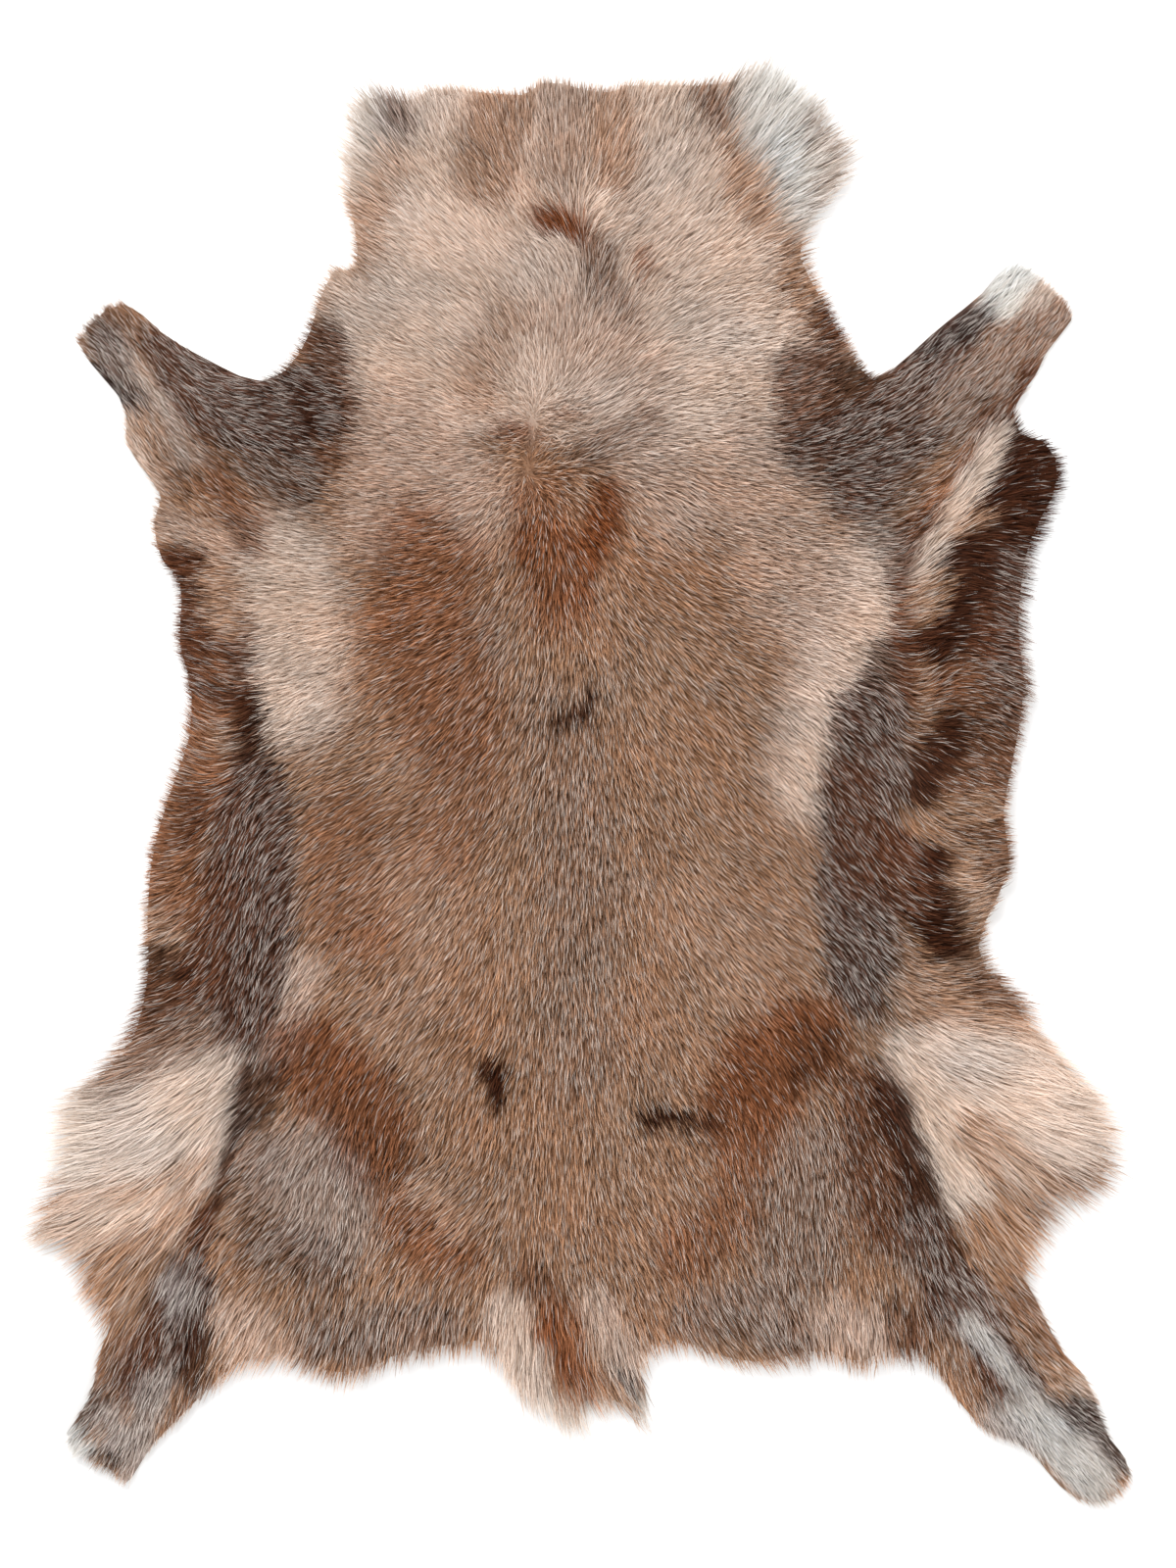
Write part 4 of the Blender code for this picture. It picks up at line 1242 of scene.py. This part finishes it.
@dataclass
class HairGrowth:
    """One growth of hair over the whole hide."""

    name: str
    seed: int
    strands: int
    blade: Blade = Blade.SHORT
    width: float = 0.9
    shortest: float = 0.68
    longest: float = 1.1
    lift: float = 1.0
    grip: float = 1.0
    clumps: float = 9000.0  # for each square metre
    roll: float = 55.0
    floor: float = 0.6
    stray: float = 8.0
    frost: float = 1.0  # how common pale tips are, compared with the tables

    def tree(self, density: float, material: bpy.types.Material, blade: bpy.types.Object) -> Any:
        """Builds the node tree that grows the hair.

        Args:
            density: Strands for each square metre where the bed is of plain thickness.
            material: The hair's finish.
            blade: The strand's template.

        Returns:
            The tree, and each named input's value by the input's identifier.
        """
        tree = bpy.data.node_groups.new(self.name + "_growth", "GeometryNodeTree")
        nodes = NodeTree(tree)
        face = tree.interface
        face.new_socket("Geometry", in_out="OUTPUT", socket_type="NodeSocketGeometry")
        face.new_socket("Geometry", in_out="INPUT", socket_type="NodeSocketGeometry")
        sizes = {
            "Density": density,
            "Width": self.width * MM,
            "Shortest": self.shortest,
            "Longest": self.longest,
            "Lift": self.lift,
            "Grip": self.grip,
            "Clumps": self.clumps,
            "Roll": math.radians(self.roll),
            "Floor": self.floor * MM,
            "Stray": self.stray * MM,
            "Frost": self.frost,
        }
        values = {}
        for name, size in sizes.items():
            socket = face.new_socket(name, in_out="INPUT", socket_type="NodeSocketFloat")
            values[socket.identifier] = size
        seed = face.new_socket("Seed", in_out="INPUT", socket_type="NodeSocketInt")
        values[seed.identifier] = self.seed
        given = nodes.add("NodeGroupInput")

        def size(name: str) -> Field:
            return nodes.out(given, name)

        def kept(name: str, kind: str = "FLOAT") -> Field:
            return nodes.value("GeometryNodeInputNamedAttribute", {"data_type": kind}, {"Name": name})

        def keep(geometry: Any, name: str, value: Field, kind: str = "FLOAT") -> Field:
            return nodes.value(
                "GeometryNodeStoreNamedAttribute",
                {"data_type": kind, "domain": "POINT"},
                {"Geometry": geometry, "Name": name, "Value": value},
            )

        def chance(low: Any, high: Any, offset: int) -> Field:
            return nodes.value(
                "FunctionNodeRandomValue",
                {"data_type": "FLOAT"},
                {"Min": low, "Max": high, "Seed": size("Seed") + offset},
            )

        position = nodes.value("GeometryNodeInputPosition")
        points = nodes.value(
            "GeometryNodeDistributePointsOnFaces",
            {"distribute_method": "RANDOM"},
            {
                "Mesh": nodes.out(given, "Geometry"),
                "Density": size("Density") * kept("thick"),
                "Seed": size("Seed"),
            },
        )
        centres = nodes.value(
            "GeometryNodeDistributePointsOnFaces",
            {"distribute_method": "RANDOM"},
            {"Mesh": nodes.out(given, "Geometry"), "Density": size("Clumps"), "Seed": 17},
        )
        nearest = nodes.value("GeometryNodeSampleNearest", inputs={"Geometry": centres})
        centre = nodes.value(
            "GeometryNodeSampleIndex",
            {"data_type": "FLOAT_VECTOR"},
            {"Geometry": centres, "Value": position, "Index": nearest},
        )
        lot = nodes.value(
            "GeometryNodeSampleIndex",
            {"data_type": "FLOAT"},
            {"Geometry": centres, "Value": chance(0.0, 1.0, 5), "Index": nearest},
        )
        stray = nodes.value(
            "FunctionNodeRandomValue",
            {"data_type": "FLOAT_VECTOR"},
            {"Min": (-0.4, -0.4, 0.0), "Max": (0.4, 0.4, 0.0), "Seed": size("Seed") + 6},
        ) + kept("heading", "FLOAT_VECTOR") * chance(-1.1, 0.9, 7)
        tint = nodes.value(
            "GeometryNodeSampleNearestSurface",
            {"data_type": "FLOAT_COLOR"},
            {
                "Mesh": nodes.out(given, "Geometry"),
                "Value": kept("tint", "FLOAT_COLOR"),
                "Sample Position": position + stray * size("Stray"),
            },
        )
        points = keep(points, "tint", tint, "FLOAT_COLOR")
        points = keep(points, "frost", kept("frost") * size("Frost"))
        points = keep(points, "draw", centre - position, "FLOAT_VECTOR")
        points = keep(points, "lot", lot)
        points = keep(points, "root", position, "FLOAT_VECTOR")
        points = keep(points, "luck", chance(0.0, 1.0, 1))
        points = keep(points, "share", chance(size("Shortest"), size("Longest"), 2))
        points = keep(points, "turn", chance(-1.0, 1.0, 3) * kept("tousle"))
        points = keep(points, "tilt", chance(size("Roll") * -1.0, size("Roll"), 4))
        template = nodes.value(
            "GeometryNodeObjectInfo", inputs={"Object": blade}, key="Geometry"
        )
        strands = nodes.value(
            "GeometryNodeInstanceOnPoints", inputs={"Points": points, "Instance": template}
        )
        mesh = nodes.value("GeometryNodeRealizeInstances", inputs={"Geometry": strands})

        reach = kept("reach")
        up = nodes.value("ShaderNodeCombineXYZ", inputs={"Z": 1.0})
        heading = nodes.value(
            "ShaderNodeVectorRotate",
            {"rotation_type": "Z_AXIS"},
            {"Vector": kept("heading", "FLOAT_VECTOR"), "Angle": kept("turn")},
        )
        across = heading.math("CROSS_PRODUCT", up)
        share = kept("share")
        forward = kept("run") * share * (reach ** 1.15)
        upward = kept("rise") * share * size("Lift") * (reach * (math.pi / 2)).math("SINE")
        roll = kept("tilt")
        flat_side = across * roll.math("COSINE") + up * roll.math("SINE")
        half = flat_side * (kept("side") * size("Width") * (1.0 - reach * 0.35))
        pull = kept("draw", "FLOAT_VECTOR") * (kept("grip") * size("Grip") * (reach ** 1.6))
        wave = nodes.value(
            "ShaderNodeTexNoise",
            {"noise_dimensions": "3D"},
            {"Vector": kept("root", "FLOAT_VECTOR") + heading * forward, "Scale": 55.0, "Detail": 1.0},
            key="Color",
        )
        sway = (wave - (0.5, 0.5, 0.5)) * (kept("run") * 0.22 * reach)
        spot = kept("root", "FLOAT_VECTOR") + heading * forward + up * upward + half + pull + sway
        parts = nodes.add("ShaderNodeSeparateXYZ", inputs={0: spot})
        grounded = nodes.value(
            "ShaderNodeCombineXYZ",
            inputs={
                "X": nodes.out(parts, "X"),
                "Y": nodes.out(parts, "Y"),
                "Z": nodes.out(parts, "Z").math("MAXIMUM", size("Floor")),
            },
        )
        mesh = nodes.value("GeometryNodeSetPosition", inputs={"Geometry": mesh, "Position": grounded})
        mesh = nodes.value("GeometryNodeSetShadeSmooth", inputs={0: mesh})
        for name in ("heading", "run", "rise", "grip", "tousle", "thick", "draw", "root", "share",
                     "turn", "tilt", "side"):
            mesh = nodes.value(
                "GeometryNodeRemoveAttribute", inputs={"Geometry": mesh, "Name": name}
            )
        mesh = nodes.value(
            "GeometryNodeSetMaterial", inputs={"Geometry": mesh, "Material": material}
        )
        nodes.add("NodeGroupOutput", inputs={"Geometry": mesh})
        return tree, values

    def grow(self, bed: bpy.types.Object, material: bpy.types.Material) -> bpy.types.Object:
        """Grows the hair.

        Args:
            bed: The surface from HairBed.
            material: The hair's finish.

        Returns:
            The strands as one plain mesh.
        """
        density = self.strands / HairBed.thickness(bed)
        blade = self.blade.build()
        tree, values = self.tree(density, material, blade)
        host = link(self.name + "_host", bed.data)
        modifier = host.modifiers.new("growth", "NODES")
        modifier.node_group = tree
        for identifier, value in values.items():
            modifier[identifier] = value
        graph = bpy.context.evaluated_depsgraph_get()
        graph.update()
        mesh = bpy.data.meshes.new_from_object(host.evaluated_get(graph))
        mesh.name = self.name
        host.modifiers.remove(modifier)
        bpy.data.objects.remove(host)
        bpy.data.objects.remove(blade)
        if not mesh.materials:
            mesh.materials.append(material)
        self.lay_out(mesh)
        return link(self.name, mesh)

    def lay_out(self, mesh: bpy.types.Mesh) -> None:
        """Gives each strand its own small square of a UV map, near those of its neighbours.

        Args:
            mesh: The strands, each with the blade's corners in order.
        """
        corners = 2 * self.blade.value + 1
        spots = np.zeros(len(mesh.vertices) * 3, np.float32)
        mesh.vertices.foreach_get("co", spots)
        roots = spots.reshape(-1, corners, 3)[:, 0]
        count = len(roots)
        cells = math.ceil(count**0.5)
        order = np.argsort(roots[:, 1], kind="stable")
        column = np.zeros(count, int)
        row = np.zeros(count, int)
        for k in range(cells):
            band = order[k * cells : (k + 1) * cells]
            column[band[np.argsort(roots[band, 0], kind="stable")]] = np.arange(len(band))
            row[band] = k
        reach = np.array([k // 2 / self.blade.value for k in range(corners - 1)] + [1.0])
        side = np.array([0.25 if k % 2 == 0 else 0.75 for k in range(corners - 1)] + [0.5])
        u = (column[:, None] + side) / cells
        v = (row[:, None] + 0.14 + 0.72 * reach) / cells
        places = np.stack([u, v], axis=2).reshape(-1, 2)
        index = np.zeros(len(mesh.loops), np.int32)
        mesh.loops.foreach_get("vertex_index", index)
        layer = mesh.uv_layers.new(name="OFBake")
        layer.data.foreach_set("uv", places[index].astype(np.float32).ravel())


# ---------------------------------------------------------------------------- studio


@dataclass
class Studio:
    """A pale floor, soft light from above and a camera over the hide."""

    middle: Point
    frame_length: float = 1.44
    lens: float = 85.0
    sensor: float = 36.0
    floor_size: float = 14.0

    def floor(self) -> bpy.types.Object:
        """A plain pale floor."""
        half = self.floor_size / 2
        mesh = bpy.data.meshes.new("floor")
        corners = [(-half, -half, 0), (half, -half, 0), (half, half, 0), (-half, half, 0)]
        mesh.from_pydata(corners, [], [(0, 1, 2, 3)])
        material, _, shader = new_material("floor")
        shader.inputs["Base Color"].default_value = (0.90, 0.90, 0.90, 1.0)
        shader.inputs["Roughness"].default_value = 0.9
        shader.inputs["Specular IOR Level"].default_value = 0.1
        mesh.materials.append(material)
        floor = link("floor", mesh)
        floor.location.z = -0.0005
        return floor

    def camera(self) -> None:
        """A camera straight above, with the neck at the top of its picture."""
        data = bpy.data.cameras.new("camera")
        data.lens = self.lens
        data.sensor_width = self.sensor
        data.sensor_fit = "AUTO"
        data.clip_end = 100.0
        camera = bpy.data.objects.new("camera", data)
        camera.location = (*self.middle, self.frame_length * self.lens / self.sensor)
        bpy.context.scene.collection.objects.link(camera)
        bpy.context.scene.camera = camera

    def lamp(self, name: str, place: tuple[float, float, float], size: float, power: float) -> None:
        """A square soft lamp that faces the hide."""
        data = bpy.data.lights.new(name, "AREA")
        data.size = size
        data.energy = power
        lamp = bpy.data.objects.new(name, data)
        lamp.location = place
        lamp.rotation_euler = (-Vector(place)).to_track_quat("-Z", "Y").to_euler()
        bpy.context.scene.collection.objects.link(lamp)

    def light(self) -> None:
        """Sky light and two soft lamps."""
        world = bpy.data.worlds.new("studio")
        world.use_nodes = True
        background = world.node_tree.nodes["Background"]
        background.inputs["Color"].default_value = (1.0, 1.0, 1.0, 1.0)
        background.inputs["Strength"].default_value = 0.80
        bpy.context.scene.world = world
        self.lamp("key", (-1.1, 1.9, 2.6), 1.6, 86.0)
        self.lamp("fill", (1.8, -1.0, 2.8), 2.5, 42.0)

    def build(self) -> bpy.types.Object:
        """Sets up the studio and returns its floor."""
        self.camera()
        self.light()
        view = bpy.context.scene.view_settings
        view.view_transform = "Standard"
        view.look = "None"
        return self.floor()


# ---------------------------------------------------------------------------- putting it together

GROWTHS = (
    HairGrowth("underhair", 1, 64000, width=1.4, shortest=0.55, longest=0.85, lift=0.72, grip=0.4,
               frost=0.4),
    HairGrowth("coat_hair_a", 2, 64000, width=0.72),
    HairGrowth("coat_hair_b", 3, 64000, width=0.66),
    HairGrowth("coat_hair_c", 4, 64000, width=0.58, longest=1.18),
    HairGrowth("guard_hair", 5, 36000, Blade.LONG, width=0.70, shortest=0.95, longest=1.3, lift=0.97,
               frost=2.2),
)


def main() -> None:
    """Builds the hide and its studio, and binds each piece to the CAD body."""
    logging.basicConfig(level=logging.INFO, format="%(name)s: %(message)s")
    solid = Solid(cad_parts["hide"])
    coat = Coat(solid)
    sheet = SkinSheet(solid, coat)
    skin = sheet.build()
    LOG.info("%s: %d faces", skin.name, len(skin.data.polygons))
    bed = HairBed(sheet).build()
    finish = HairFinish().material()
    hair = []
    for growth in GROWTHS:
        piece = growth.grow(bed, finish)
        LOG.info("%s: %d faces", piece.name, len(piece.data.polygons))
        hair.append(piece)
    bpy.data.objects.remove(bed)
    for piece in (skin, *hair):
        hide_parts("hide")
        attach(piece, "root")
    sheet.outline.area * MM * MM
    Studio(middle=(4.6 * MM, -0.4 * MM)).build()


if __name__ == "__main__":
    main()
